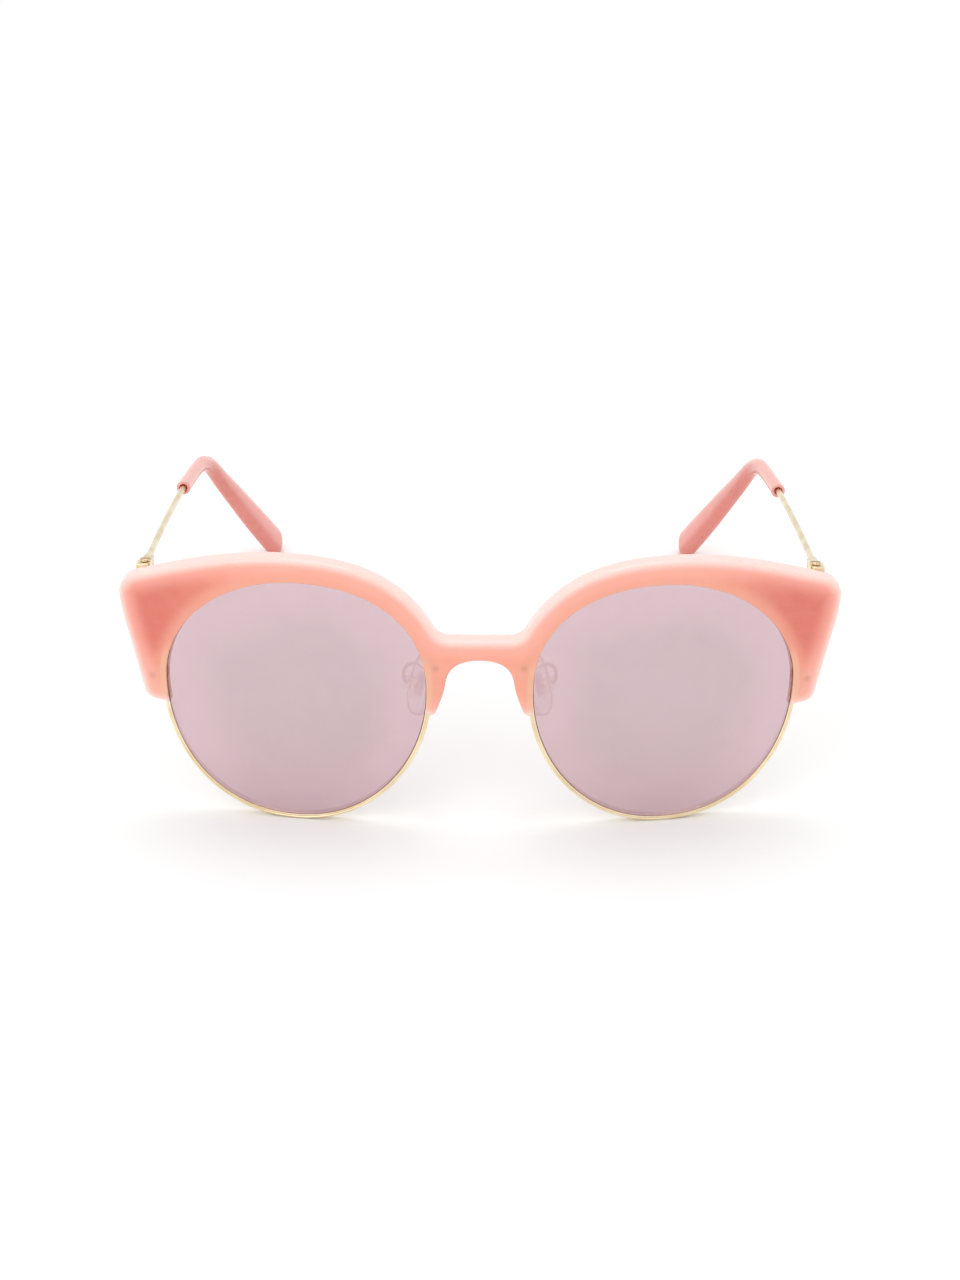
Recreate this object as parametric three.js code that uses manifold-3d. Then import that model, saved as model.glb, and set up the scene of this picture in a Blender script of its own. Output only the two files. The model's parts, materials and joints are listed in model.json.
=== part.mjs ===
// Cat-eye browline sunglasses: a moulded plastic brow with its bridge, two wire rims screwed behind it,
// two lenses, adjustable nose pads and thin wire temples with plastic tips.
// Millimetres. Every piece is drawn in the worn frame: +x to the wearer's left, +y towards the back of the
// head, +z up with the temples level, and the origin on the front of the bridge. The last lines turn the
// worn frame so that the glasses stand on z = 0 on their rims and temple tips, as they lie on a table.
import * as THREE from "three";
import { mergeVertices } from "three/addons/utils/BufferGeometryUtils.js";
import { TessellateModifier } from "three/addons/modifiers/TessellateModifier.js";
import Module from "manifold-3d";

const wasm = await Module();
wasm.setup();
const radians = THREE.MathUtils.degToRad;

// ---- Driving dimensions ----
const GAP = 0.12; // room between pieces that are pressed, screwed or glued together
const pantoscopic = radians(6); // the front leans out at the top, measured from square to the temples
const wrapRadius = 260; // the front is bent round the face on a cylinder of this radius
const brow = { thickness: 4.4, edge: 0.4, bridgeTop: -0.55, bridgeBottom: -4.9, outerLegEnd: -17.9, innerLegEnd: -16.7 };
// The lens opening is a rounded oval: its middle, half width, and reach above and below the widest line.
const opening = { x: 37.5, z: -12, halfWidth: 26.7, up: 22.9, down: 29.4 };
const squareness = { upInner: 2.24, upOuter: 1.98, downOuter: 2.15, downInner: 2.04 };
const lens = { front: 1.5, thickness: 1.8, bevel: 0.45 };
const rim = { width: 1.05, front: 1.25, depth: 2.3, outerEnd: radians(4), innerEnd: radians(-197) };
const rimScrews = { outer: [67.1, -12], inner: [8.9, -6.4] }; // x and z of each screw behind the brow
const eyelet = { radius: 1.5, thickness: 0.9, depth: 2.55, tongue: 2 };
const screw = { headRadius: 1.05, headHeight: 0.55, shankRadius: 0.5 };
const hinge = { x: 68.5, y: 15.3, z: 9.65, radius: 1.35, knuckle: 1.2, middle: 1.5 };
const plate = { thickness: 0.9, screws: [[63.6, 7.9], [63.6, 4.3]] };
const temple = { toBend: 97.5, afterBend: 42, bendAngle: radians(45), bendRadius: 14, wireRadius: 0.66 };
const tip = { start: 69, core: 22 }; // where the plastic tip begins, and how far the core stops short of its end
const pad = { length: 13.4, width: 7.6, thickness: 2.4, x: 13.9, y: 10.2, z: -14.2 };

// ---- Materials ----
const plastic = new THREE.MeshStandardMaterial({ color: 0xf3a08f, roughness: 0.32, metalness: 0 });
const gold = new THREE.MeshStandardMaterial({ color: 0xdcc38a, roughness: 0.25, metalness: 1 });
const mirror = new THREE.MeshStandardMaterial({ color: 0xd2b4bc, roughness: 0.06, metalness: 0.6 });
const silicone = new THREE.MeshStandardMaterial({ color: 0xe9e4e2, roughness: 0.4, metalness: 0 });
const insert = new THREE.MeshStandardMaterial({ color: 0xd9d6d0, roughness: 0.35, metalness: 0 });

// ---- Solids ----
function solidOf(geometry) {
  const bare = geometry.clone();
  for (const name of Object.keys(bare.attributes)) {
    if (name !== "position") bare.deleteAttribute(name);
  }
  const merged = mergeVertices(bare, 1e-4);
  const corners = [];
  for (let i = 0; i < merged.index.count; i += 3) {
    const [a, b, c] = merged.index.array.slice(i, i + 3);
    if (a !== b && b !== c && c !== a) corners.push(a, b, c);
  }
  return new wasm.Manifold(new wasm.Mesh({
    numProp: 3,
    vertProperties: merged.attributes.position.array,
    triVerts: new Uint32Array(corners),
  }));
}

function geometryOf(solid) {
  const mesh = solid.getMesh();
  const geometry = new THREE.BufferGeometry();
  geometry.setAttribute("position", new THREE.BufferAttribute(mesh.vertProperties, 3));
  geometry.setIndex(new THREE.BufferAttribute(mesh.triVerts, 1));
  return geometry;
}

const joined = (...pieces) => geometryOf(pieces.map(solidOf).reduce((a, b) => a.add(b)));
const cut = (body, ...tools) => geometryOf(tools.map(solidOf).reduce((a, b) => a.subtract(b), solidOf(body)));

function mirrored(geometry) {
  const other = geometry.index ? geometry.toNonIndexed() : geometry.clone();
  const p = other.attributes.position;
  const turned = new THREE.BufferAttribute(new Float32Array(p.count * 3), 3);
  for (let i = 0; i < p.count; i += 3) {
    [0, 2, 1].forEach((from, to) => turned.setXYZ(i + to, -p.getX(i + from), p.getY(i + from), p.getZ(i + from)));
  }
  return new THREE.BufferGeometry().setAttribute("position", turned);
}

function box(x0, x1, y0, y1, z0, z1) {
  const geometry = new THREE.BoxGeometry(x1 - x0, y1 - y0, z1 - z0);
  return geometry.translate((x0 + x1) / 2, (y0 + y1) / 2, (z0 + z1) / 2);
}

// A rod along +y from y0 to y1.
const rod = (radius, y0, y1, sides = 12) =>
  new THREE.CylinderGeometry(radius, radius, y1 - y0, sides).translate(0, (y0 + y1) / 2, 0);

// A rod along +z from z0 to z1.
const post = (radius, z0, z1, sides = 12) => rod(radius, z0, z1, sides).rotateX(Math.PI / 2);

// Extrudes an outline drawn in x and z through the depth, from y0 back to y1.
function slab(outline, y0, y1, edge = 0) {
  const geometry = new THREE.ExtrudeGeometry(outline, {
    depth: y1 - y0 - 2 * edge,
    bevelEnabled: edge > 0,
    bevelThickness: edge,
    bevelSize: edge,
    bevelOffset: -edge,
    bevelSegments: 1,
  });
  return geometry.rotateX(Math.PI / 2).translate(0, y1 - edge, 0);
}

// A bar of changing section along a path. section(t, a, b) places a point of the unit circle: first
// across the path towards the reference direction, then square to both.
function bar(path, section, steps, sides, reference = new THREE.Vector3(1, 0, 0)) {
  const geometry = new THREE.CylinderGeometry(1, 1, 1, sides, steps);
  const p = geometry.attributes.position;
  for (let i = 0; i < p.count; i++) {
    const t = 0.5 - p.getY(i);
    const along = path.getTangent(t);
    const across = reference.clone().addScaledVector(along, -reference.dot(along)).normalize();
    const square = along.clone().cross(across);
    const [u, v] = section(t, p.getX(i), p.getZ(i));
    const point = path.getPoint(t).addScaledVector(across, u).addScaledVector(square, v);
    p.setXYZ(i, point.x, point.y, point.z);
  }
  return geometry;
}

// The unit circle pushed out towards a square, for sections with soft corners.
const soft = (a, n) => Math.sign(a) * Math.abs(a) ** (2 / n);

// ---- The bent front ----
const sag = (x) => (x * x) / (2 * wrapRadius);

function wrapped(geometry) {
  const p = geometry.attributes.position;
  for (let i = 0; i < p.count; i++) p.setY(i, p.getY(i) + sag(p.getX(i)));
  return geometry;
}

// Puts a piece drawn round its own +y axis square to the bent front at x and z, this deep behind its face.
const seated = (geometry, [x, z], depth) =>
  geometry.translate(0, depth, 0).rotateZ(Math.atan(x / wrapRadius)).translate(x, sag(x), z);

// A point of the lens opening's edge, moved outwards by an offset. Angle 0 is the temple side, 90 the top.
function openingPoint(angle, offset = 0) {
  const c = Math.cos(angle);
  const s = Math.sin(angle);
  const n = s > 0
    ? (c > 0 ? squareness.upOuter : squareness.upInner)
    : (c > 0 ? squareness.downOuter : squareness.downInner);
  const reach = s > 0 ? opening.up : opening.down;
  const u = soft(c, n);
  const v = soft(s, n);
  const normal = new THREE.Vector2(
    (Math.sign(u) * Math.abs(u) ** (n - 1)) / opening.halfWidth,
    (Math.sign(v) * Math.abs(v) ** (n - 1)) / reach,
  ).normalize();
  return new THREE.Vector2(opening.x + opening.halfWidth * u, opening.z + reach * v).addScaledVector(normal, offset);
}

// The angle of the opening's edge at a height, on its temple side or its nose side.
function angleAtHeight(z, inner) {
  const reach = z > opening.z ? opening.up : opening.down;
  const n = z > opening.z
    ? (inner ? squareness.upInner : squareness.upOuter)
    : (inner ? squareness.downInner : squareness.downOuter);
  const v = (z - opening.z) / reach;
  const s = Math.sign(v) * Math.abs(v) ** (n / 2);
  return inner ? Math.PI - Math.asin(s) : Math.asin(s);
}

// ---- Brow ----
// One half of the brow's outline, from the top of the bridge round the corner and the legs to its underside.
function browHalf() {
  const half = new THREE.Path();
  half.moveTo(0, brow.bridgeTop);
  half.lineTo(3.2, brow.bridgeTop);
  half.lineTo(6.2, brow.bridgeTop);
  half.quadraticCurveTo(8.6, -0.4, 9.7, 2.2);
  half.bezierCurveTo(15.6, 11.3, 24, 15.85, 39, 15.85);
  half.bezierCurveTo(49, 15.85, 58, 13.6, 69.4, 9.85);
  half.bezierCurveTo(72.0, 9.0, 73.6, 7.4, 73.35, 5.0);
  half.quadraticCurveTo(73.2, 2.6, 72.4, -0.8);
  half.lineTo(70.6, -8.2);
  half.lineTo(68.95, -15.4);
  half.quadraticCurveTo(68.6, -17.1, 67.2, -17.3);
  const from = angleAtHeight(brow.outerLegEnd, false);
  const to = angleAtHeight(brow.innerLegEnd, true);
  const steps = 32;
  for (let i = 0; i <= steps; i++) {
    const edge = openingPoint(from + ((to - from) * i) / steps);
    half.lineTo(edge.x, edge.y);
  }
  half.bezierCurveTo(10.4, -17.3, 9.1, -17.5, 8.6, -15.6);
  half.bezierCurveTo(7.8, -13.6, 7.3, -12.4, 6.9, -9.8);
  half.bezierCurveTo(6.4, -6.4, 3.9, brow.bridgeBottom, 0, brow.bridgeBottom);
  return half.getPoints(5);
}

function browOutline() {
  const half = browHalf();
  const other = half.slice(1, -1).reverse().map((p) => new THREE.Vector2(-p.x, p.y));
  return new THREE.Shape([...half, ...other]);
}

// The room that a rim takes behind the lip of a leg, open at the back.
function rimPocket() {
  const from = rim.outerEnd + radians(2.5);
  const to = rim.innerEnd - radians(2.5);
  const angles = Array.from({ length: 33 }, (_, i) => from + ((to - from) * i) / 32);
  const inside = angles.map((a) => openingPoint(a, -0.6));
  const outside = angles.map((a) => openingPoint(a, rim.width + GAP)).reverse();
  return wrapped(slab(new THREE.Shape([...inside, ...outside]), rim.front - GAP, brow.thickness + 2));
}

function browFront() {
  const holes = [];
  for (const spot of Object.values(rimScrews)) {
    holes.push(...eyeletPieces(spot, GAP));
    holes.push(seated(rod(screw.shankRadius + GAP, 0.8, brow.thickness), spot, 0));
  }
  for (const spot of plate.screws) {
    holes.push(seated(rod(screw.shankRadius + GAP, 1.2, brow.thickness + 1), spot, 0));
  }
  const oneSide = [lensSolid(GAP), rimPocket(), ...holes];
  // Its wide faces are divided first, so that they bend smoothly.
  const flat = new TessellateModifier(13, 9).modify(slab(browOutline(), 0, brow.thickness, brow.edge));
  return cut(wrapped(flat), ...oneSide, ...oneSide.map(mirrored));
}

// ---- Lens ----
// A disc with a V-shaped edge: it is turned as a unit disc, then stretched to the opening's outline.
function lensSolid(grow = 0) {
  const front = lens.front - grow;
  const back = lens.front + lens.thickness + grow;
  const middle = (front + back) / 2;
  const edgeFlat = 0.2;
  const rings = [0.5, 0.997];
  const profile = [
    new THREE.Vector2(0, front),
    ...rings.map((r) => new THREE.Vector2(r, front)),
    new THREE.Vector2(1 + lens.bevel + grow, middle - edgeFlat),
    new THREE.Vector2(1 + lens.bevel + grow, middle + edgeFlat),
    ...rings.toReversed().map((r) => new THREE.Vector2(r, back)),
    new THREE.Vector2(0, back),
  ];
  const geometry = new THREE.LatheGeometry(profile, 40);
  const p = geometry.attributes.position;
  for (let i = 0; i < p.count; i++) {
    const r = Math.hypot(p.getX(i), p.getZ(i));
    const angle = Math.atan2(p.getZ(i), p.getX(i));
    const edge = openingPoint(angle, Math.max(r - 1, 0));
    const share = Math.min(r, 1);
    p.setX(i, opening.x + (edge.x - opening.x) * share);
    p.setZ(i, opening.z + (edge.y - opening.z) * share);
  }
  return wrapped(geometry);
}

// ---- Rim ----
class RimPath extends THREE.Curve {
  getPoint(t) {
    const edge = openingPoint(rim.outerEnd + (rim.innerEnd - rim.outerEnd) * t, rim.width / 2);
    return new THREE.Vector3(edge.x, rim.front + rim.depth / 2, edge.y);
  }
}

// A rim's eyelet is a round tab on a tongue. Grown, it is the recess for them, open at the back.
function eyeletPieces(spot, grow = 0) {
  const inner = spot[0] < opening.x;
  const reach = openingPoint(angleAtHeight(spot[1], inner), rim.width / 2).x - spot[0];
  const [front, back] = [eyelet.depth - grow, eyelet.depth + (grow ? 4 : eyelet.thickness)];
  const half = eyelet.tongue / 2 + grow;
  return [
    seated(rod(eyelet.radius + grow, front, back), spot, 0),
    seated(box(Math.min(reach, 0), Math.max(reach, 0), front, back, -half, half), spot, 0),
  ];
}

function rimWire() {
  const section = (t, a, b) => [(soft(a, 3.4) * rim.depth) / 2, (soft(b, 3.4) * rim.width) / 2];
  const wire = wrapped(bar(new RimPath(), section, 36, 8, new THREE.Vector3(0, 1, 0)));
  const eyelets = Object.values(rimScrews).flatMap((spot) => eyeletPieces(spot));
  const holes = Object.values(rimScrews).map((spot) => seated(rod(screw.shankRadius + GAP, 0, 6), spot, 0));
  return cut(joined(wire, ...eyelets), lensSolid(GAP), ...holes);
}

// A slotted cheese-head screw along +y, its head's seat at y = 0 and its shank towards -y.
function slottedScrew(length, head = screw) {
  const r = head.shankRadius;
  const profile = [[0, -length], [r * 0.6, -length], [r, -length + r * 0.5], [r, 0], [head.headRadius, 0],
    [head.headRadius, head.headHeight * 0.7], [head.headRadius * 0.8, head.headHeight], [0, head.headHeight]];
  const body = new THREE.LatheGeometry(profile.map(([x, y]) => new THREE.Vector2(x, y)), 10);
  const slot = box(-2, 2, head.headHeight * 0.5, 2, -0.13, 0.13);
  return cut(body, slot);
}

const rimScrew = (spot) => seated(slottedScrew(2.4), spot, eyelet.depth + eyelet.thickness + 0.05);

// ---- Nose pad ----
// The pad stands in its own frame: +y towards the nose, +z along its length, and x along its screw.
const padFrame = new THREE.Matrix4();
{
  const toNose = new THREE.Vector3(-0.82, 0.5, -0.28).normalize();
  const upright = new THREE.Vector3(-0.1, 0.12, 1).normalize();
  const across = toNose.clone().cross(upright).normalize();
  padFrame.makeBasis(across, toNose, across.clone().cross(toNose)).setPosition(pad.x, pad.y, pad.z);
}
const cup = { width: 3.0, slot: 1.3, depth: 2.4, height: 2.6 };
const lug = { thickness: 1.0, radius: 0.85, neck: 2.1 };
const padBack = 1.5; // from the screw's axis to the back of the pad

function padOutline(grow) {
  const outline = new THREE.Shape();
  const half = pad.width / 2 + grow;
  const top = pad.length / 2 + grow;
  outline.moveTo(0, top);
  outline.bezierCurveTo(half * 0.9, top, half, top * 0.35, half, -top * 0.2);
  outline.bezierCurveTo(half, -top * 0.75, half * 0.6, -top, 0, -top);
  outline.bezierCurveTo(-half * 0.6, -top, -half, -top * 0.75, -half, -top * 0.2);
  outline.bezierCurveTo(-half, top * 0.35, -half * 0.9, top, 0, top);
  return outline;
}

function padInsert(grow = 0) {
  const ear = post(lug.radius + grow, -lug.thickness / 2 - grow, lug.thickness / 2 + grow).rotateY(Math.PI / 2);
  const half = lug.thickness / 2 + grow;
  const neck = box(-half, half, 0, lug.neck, -lug.radius * 0.8 - grow, lug.radius * 0.8 + grow);
  const foot = box(-1.3 - grow, 1.3 + grow, padBack + 0.6 - grow, padBack + 1.2 + grow, -2.4 - grow, 2.4 + grow);
  const whole = joined(ear, neck, foot);
  return grow ? whole : cut(whole, post(0.36 + GAP, -2, 2).rotateY(Math.PI / 2));
}

const nosePad = () => cut(slab(padOutline(0), padBack, padBack + pad.thickness, 0.6), padInsert(GAP));

// The cup that holds the pad's lug, open towards the nose, on the end of its bent wire.
class ArmPath extends THREE.CatmullRomCurve3 {
  constructor() {
    const cupBack = new THREE.Vector3(0, -1.2, 0).applyMatrix4(padFrame);
    super([
      new THREE.Vector3(10.4, rim.front + rim.depth + 0.5, -9.6),
      new THREE.Vector3(11.1, 5.6, -9.0),
      new THREE.Vector3(13.0, 7.3, -8.4),
      new THREE.Vector3(15.1, 8.6, -9.6),
      new THREE.Vector3(15.7, 9.4, -12.2),
      cupBack,
    ]);
  }
}

function padArm() {
  const radius = 0.45;
  const wire = bar(new ArmPath(), (t, a, b) => [radius * a, radius * b], 18, 8, new THREE.Vector3(0, 0, 1));
  const holder = box(-cup.width / 2, cup.width / 2, -1.5, cup.depth - 1.5, -cup.height / 2, cup.height / 2);
  const slot = box(-cup.slot / 2, cup.slot / 2, -1.0, 3, -3, 3);
  const bore = post(0.36 + GAP, -4, 4).rotateY(Math.PI / 2);
  return joined(wire, cut(holder, slot, bore).applyMatrix4(padFrame));
}

function padScrew() {
  const head = { headRadius: 0.7, headHeight: 0.45, shankRadius: 0.36 };
  return slottedScrew(cup.width, head).translate(0, cup.width / 2 + 0.02, 0).rotateZ(-Math.PI / 2);
}

// ---- Hinge ----
// The leaf behind the brow's corner: a plate that follows the corner, and the two outer knuckles.
const hingeInFront = new THREE.Matrix4().makeRotationX(-pantoscopic)
  .multiply(new THREE.Matrix4().makeTranslation(hinge.x, hinge.y, hinge.z));

function hingePlate() {
  const outline = new THREE.Shape();
  outline.moveTo(62.3, 2.4);
  outline.lineTo(69.9, 2.4);
  outline.lineTo(71.2, 6.8);
  outline.quadraticCurveTo(71.4, 8.6, 69.6, 9.4);
  outline.lineTo(66.4, 10.2);
  outline.lineTo(62.3, 10.2);
  const leaf = wrapped(slab(outline, brow.thickness + 0.1, brow.thickness + 0.1 + plate.thickness, 0.2));
  const top = hinge.middle / 2 + 0.12;
  const knuckles = [1, -1].flatMap((up) => {
    const [low, high] = [up * top, up * (top + hinge.knuckle)].sort((a, b) => a - b);
    return [post(hinge.radius, low, high), box(-0.75, 0.75, -2.4, 0, low, high)];
  }).map((piece) => piece.applyMatrix4(hingeInFront));
  // The end block stands outboard of the knuckles, where the open temple stops against it.
  const block = box(0.2, 1.75, -1.7, 1.8, -1.9, 1.9).applyMatrix4(hingeInFront);
  const bore = post(0.6, -4, 4).applyMatrix4(hingeInFront);
  const swing = post(hinge.radius + 0.15, -top, top).applyMatrix4(hingeInFront);
  const holes = plate.screws.map((spot) => seated(rod(screw.shankRadius + GAP, 2, 8), spot, 0));
  return cut(joined(leaf, block, ...knuckles), bore, swing, ...holes);
}

const plateScrew = (spot) => seated(slottedScrew(3.6), spot, brow.thickness + 0.1 + plate.thickness + 0.05);

// The hinge screw is the hinge's pin, with its head on the upper knuckle.
function hingeScrew() {
  const top = hinge.middle / 2 + 0.12 + hinge.knuckle;
  const head = { headRadius: 1.1, headHeight: 0.6, shankRadius: 0.5 };
  return slottedScrew(2 * top + 0.1, head).rotateX(Math.PI / 2).translate(0, 0, top + 0.05)
    .applyMatrix4(hingeInFront);
}

// ---- Temple, in the hinge's own frame ----
// Sideways the temple bows out a little and then in behind the ear; seen from the side it runs level to
// the bend and then down.
const sideways = new THREE.SplineCurve([
  [0, 0.7], [45, 0.5], [77, -0.5], [97, -2.6], [118, -9.3], [139.5, -17.1],
].map(([s, x]) => new THREE.Vector2(s, x)));

class TemplePath extends THREE.Curve {
  constructor(from, to) {
    super();
    this.from = from;
    this.to = to;
  }
  getPoint(t) {
    const s = this.from + (this.to - this.from) * t;
    const bendStart = temple.toBend - temple.bendRadius * Math.tan(temple.bendAngle / 2);
    const turn = Math.min(Math.max((s - bendStart) / temple.bendRadius, 0), temple.bendAngle);
    const past = Math.max(s - bendStart - temple.bendRadius * temple.bendAngle, 0);
    const y = Math.min(s, bendStart) + temple.bendRadius * Math.sin(turn) + past * Math.cos(turn);
    const z = -temple.bendRadius * (1 - Math.cos(turn)) - past * Math.sin(turn);
    return new THREE.Vector3(sidewaysAt(s), y, z);
  }
}

// The spline's x where it has run s along the temple.
function sidewaysAt(s) {
  let [low, high] = [0, 1];
  for (let i = 0; i < 24; i++) {
    const t = (low + high) / 2;
    if (sideways.getPoint(t).x < s) low = t;
    else high = t;
  }
  return sideways.getPoint(low).y;
}

const templeEnd = temple.toBend + temple.afterBend;
const mix = THREE.MathUtils.lerp;
const ease = THREE.MathUtils.smoothstep;

// The arm is flat where it meets the hinge leaf and round from there on.
function templeArm(grow = 0) {
  const start = grow ? tip.start - 6 : 2.0;
  const end = templeEnd - tip.core + 3 * grow;
  const section = (t, a, b) => {
    const s = mix(start, end, t);
    const round = ease(s, 7, 14);
    const radius = temple.wireRadius + grow;
    return [radius * soft(a, mix(4, 2, round)), mix(1.35, radius, round) * soft(b, mix(4, 2, round))];
  };
  return bar(new TemplePath(start, end), section, grow ? 16 : 30, 8);
}

// The leaf brazed to the inside of the arm's end, with the hinge's middle knuckle.
function templeLeaf() {
  const half = hinge.middle / 2;
  const leaf = box(-0.85, -0.1, 1.9, 7.5, -1.3, 1.3);
  const neck = box(-0.85, -0.1, 0, 2.0, -half, half);
  return cut(joined(post(hinge.radius, -half, half), neck, leaf), post(0.6, -3, 3));
}

// The tip is a round sleeve where the wire goes in, and a deeper, flatter bar behind the ear.
function templeTip() {
  const rounding = 3;
  const section = (t, a, b) => {
    const s = mix(tip.start, templeEnd, t);
    const grown = ease(s, 84, 134);
    const closing = Math.sqrt(Math.max(1 - Math.max((s - templeEnd + rounding) / rounding, 0) ** 2, 0.06));
    const n = mix(2, 3, grown);
    return [mix(1.45, 2.1, grown) * closing * soft(a, n), mix(1.45, 3.8, grown) * closing * soft(b, n)];
  };
  const body = bar(new TemplePath(tip.start, templeEnd), section, 22, 10);
  return cut(body, templeArm(GAP));
}

// ---- Assembly ----
function piece(name, geometry, material) {
  const mesh = new THREE.Mesh(geometry, material);
  mesh.name = name;
  return mesh;
}

function frontSide(side) {
  const group = new THREE.Group();
  const padGroup = new THREE.Group();
  padGroup.applyMatrix4(padFrame);
  padGroup.add(
    piece(`nose_pad_${side}`, nosePad(), silicone),
    piece(`pad_insert_${side}`, padInsert(), insert),
    piece(`pad_screw_${side}`, padScrew(), gold),
  );
  group.add(
    piece(`lens_${side}`, lensSolid(), mirror),
    piece(`rim_${side}`, rimWire(), gold),
    piece(`pad_arm_${side}`, padArm(), gold),
    piece(`hinge_plate_${side}`, hingePlate(), gold),
    piece(`hinge_screw_${side}`, hingeScrew(), gold),
    padGroup,
  );
  for (const [place, spot] of Object.entries(rimScrews)) {
    group.add(piece(`rim_screw_${place}_${side}`, rimScrew(spot), gold));
  }
  plate.screws.forEach((spot, i) => {
    group.add(piece(`plate_screw_${["upper", "lower"][i]}_${side}`, plateScrew(spot), gold));
  });
  return group;
}

function templeSide(side) {
  const group = new THREE.Group();
  group.position.set(hinge.x, hinge.y, hinge.z);
  group.add(
    piece(`temple_arm_${side}`, templeArm(), gold),
    piece(`temple_leaf_${side}`, templeLeaf(), gold),
    piece(`temple_tip_${side}`, templeTip(), plastic),
  );
  return group;
}

const worn = new THREE.Group();
const front = new THREE.Group();
front.rotation.x = pantoscopic;
front.add(piece("brow_front", browFront(), plastic));
worn.add(front);
for (const [side, sign] of [["left", 1], ["right", -1]]) {
  const frontHalf = new THREE.Group();
  frontHalf.scale.x = sign;
  frontHalf.add(frontSide(side));
  front.add(frontHalf);
  const templeHalf = new THREE.Group();
  templeHalf.scale.x = sign;
  templeHalf.add(templeSide(side));
  worn.add(templeHalf);
}

// The glasses lean back until the temple tips come down to the table, and their foot is centred on it.
const restTilt = radians(-8.785);
worn.rotation.x = restTilt;
const glasses = new THREE.Group();
glasses.add(worn);
glasses.updateMatrixWorld(true);
const bounds = new THREE.Box3().setFromObject(glasses, true);
worn.position.set(0, -(bounds.min.y + bounds.max.y) / 2, -bounds.min.z);

export default glasses;
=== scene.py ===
# Cat-eye browline sunglasses: the finished surfaces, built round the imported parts.
# Pieces are drawn in millimetres in a frame of their own, then placed in metres.
import json
import math

import bmesh
import bpy
import numpy as np
from mathutils import Matrix, Vector

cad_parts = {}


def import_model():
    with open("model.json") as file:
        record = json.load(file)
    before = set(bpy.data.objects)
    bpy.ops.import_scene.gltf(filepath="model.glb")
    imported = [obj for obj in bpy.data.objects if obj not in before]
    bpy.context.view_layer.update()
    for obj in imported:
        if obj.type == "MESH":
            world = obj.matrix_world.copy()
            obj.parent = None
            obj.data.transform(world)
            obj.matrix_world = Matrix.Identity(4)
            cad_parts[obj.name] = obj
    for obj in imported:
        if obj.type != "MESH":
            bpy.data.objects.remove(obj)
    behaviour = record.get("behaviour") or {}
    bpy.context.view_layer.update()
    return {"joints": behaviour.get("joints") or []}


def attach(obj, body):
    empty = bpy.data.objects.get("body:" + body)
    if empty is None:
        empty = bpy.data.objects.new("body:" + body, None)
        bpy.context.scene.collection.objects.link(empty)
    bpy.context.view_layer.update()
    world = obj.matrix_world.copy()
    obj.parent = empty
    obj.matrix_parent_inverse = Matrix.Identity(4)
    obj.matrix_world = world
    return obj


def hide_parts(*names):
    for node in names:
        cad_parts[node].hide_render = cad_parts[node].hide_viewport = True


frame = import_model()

joints = {joint["name"]: joint for joint in frame["joints"]}

# ---- Driving dimensions, in millimetres as on the drawing ----
PANTOSCOPIC = math.radians(6)
WRAP_RADIUS = 260
BROW_THICKNESS = 4.4
BRIDGE_TOP = -0.55
BRIDGE_BOTTOM = -4.9
OUTER_LEG_END, INNER_LEG_END = -17.9, -16.7
OPENING_MIDDLE = Vector((37.5, -12))
OPENING_HALF_WIDTH = 26.7
OPENING_UP, OPENING_DOWN = 22.9, 29.4
SQUARENESS = {"up_inner": 2.24, "up_outer": 1.98, "down_outer": 2.15, "down_inner": 2.04}
LENS_FRONT, LENS_THICKNESS, LENS_BEVEL = 1.36, 1.94, 0.42
RIM_FRONT, RIM_DEPTH, RIM_WIDTH = 1.25, 2.3, 1.05
RIM_START, RIM_END = math.radians(4), math.radians(-197)
RIM_SCREWS = {"outer": (67.1, -12), "inner": (8.9, -6.4)}
EYELET_RADIUS, EYELET_THICKNESS, EYELET_DEPTH, EYELET_TONGUE = 1.5, 0.9, 2.55, 2.0
HINGE = Vector((68.5, 15.3, 9.65))
KNUCKLE_RADIUS, KNUCKLE_HEIGHT, MIDDLE_KNUCKLE = 1.35, 1.2, 1.5
PLATE_THICKNESS = 0.9
PLATE_SCREWS = {"upper": (63.6, 7.9), "lower": (63.6, 4.3)}
TEMPLE_TO_BEND, TEMPLE_AFTER_BEND = 97.5, 42
BEND_ANGLE, BEND_RADIUS = math.radians(45), 14
WIRE_RADIUS = 0.66
TIP_START, TIP_CORE_SHORT = 69, 22
PAD_LENGTH, PAD_WIDTH, PAD_THICKNESS, PAD_BACK = 13.4, 7.6, 2.4, 1.5
PAD_CENTRE = Vector((13.9, 10.2, -14.2))
PAD_TO_NOSE, PAD_UPRIGHT = Vector((-0.82, 0.5, -0.28)), Vector((-0.1, 0.12, 1))
SCREW_RADIUS, RIM_SCREW_LENGTH, PLATE_SCREW_LENGTH = 0.5, 2.4, 3.6
HEAD_ROOM = 0.05  # between a screw's head and what it holds
ROOM = 0.12  # between pieces that are pressed, screwed or glued together
SAME_SPOT = 1e-4  # points that are nearer than this are one
MM = 0.001
TEMPLE_END = TEMPLE_TO_BEND + TEMPLE_AFTER_BEND


# ---- The frames that the pieces are drawn in ----
def frames():
    """Matrices from millimetres to packed metres: the worn frame, the front and a temple."""
    fold = joints["temple_left_fold"]
    lean = math.atan2(fold["axis"][1], fold["axis"][2])
    turn = Matrix.Rotation(-lean, 4, "X")
    origin = Vector(fold["pos_m"]) - turn @ (HINGE * MM)
    worn = Matrix.Translation(origin) @ turn @ Matrix.Scale(MM, 4)
    front = worn @ Matrix.Rotation(PANTOSCOPIC, 4, "X")
    temple = worn @ Matrix.Translation(HINGE)
    return worn, front, temple


WORN, FRONT, TEMPLE = frames()
HINGE_IN_FRONT = Matrix.Rotation(-PANTOSCOPIC, 4, "X") @ Matrix.Translation(HINGE)


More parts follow.
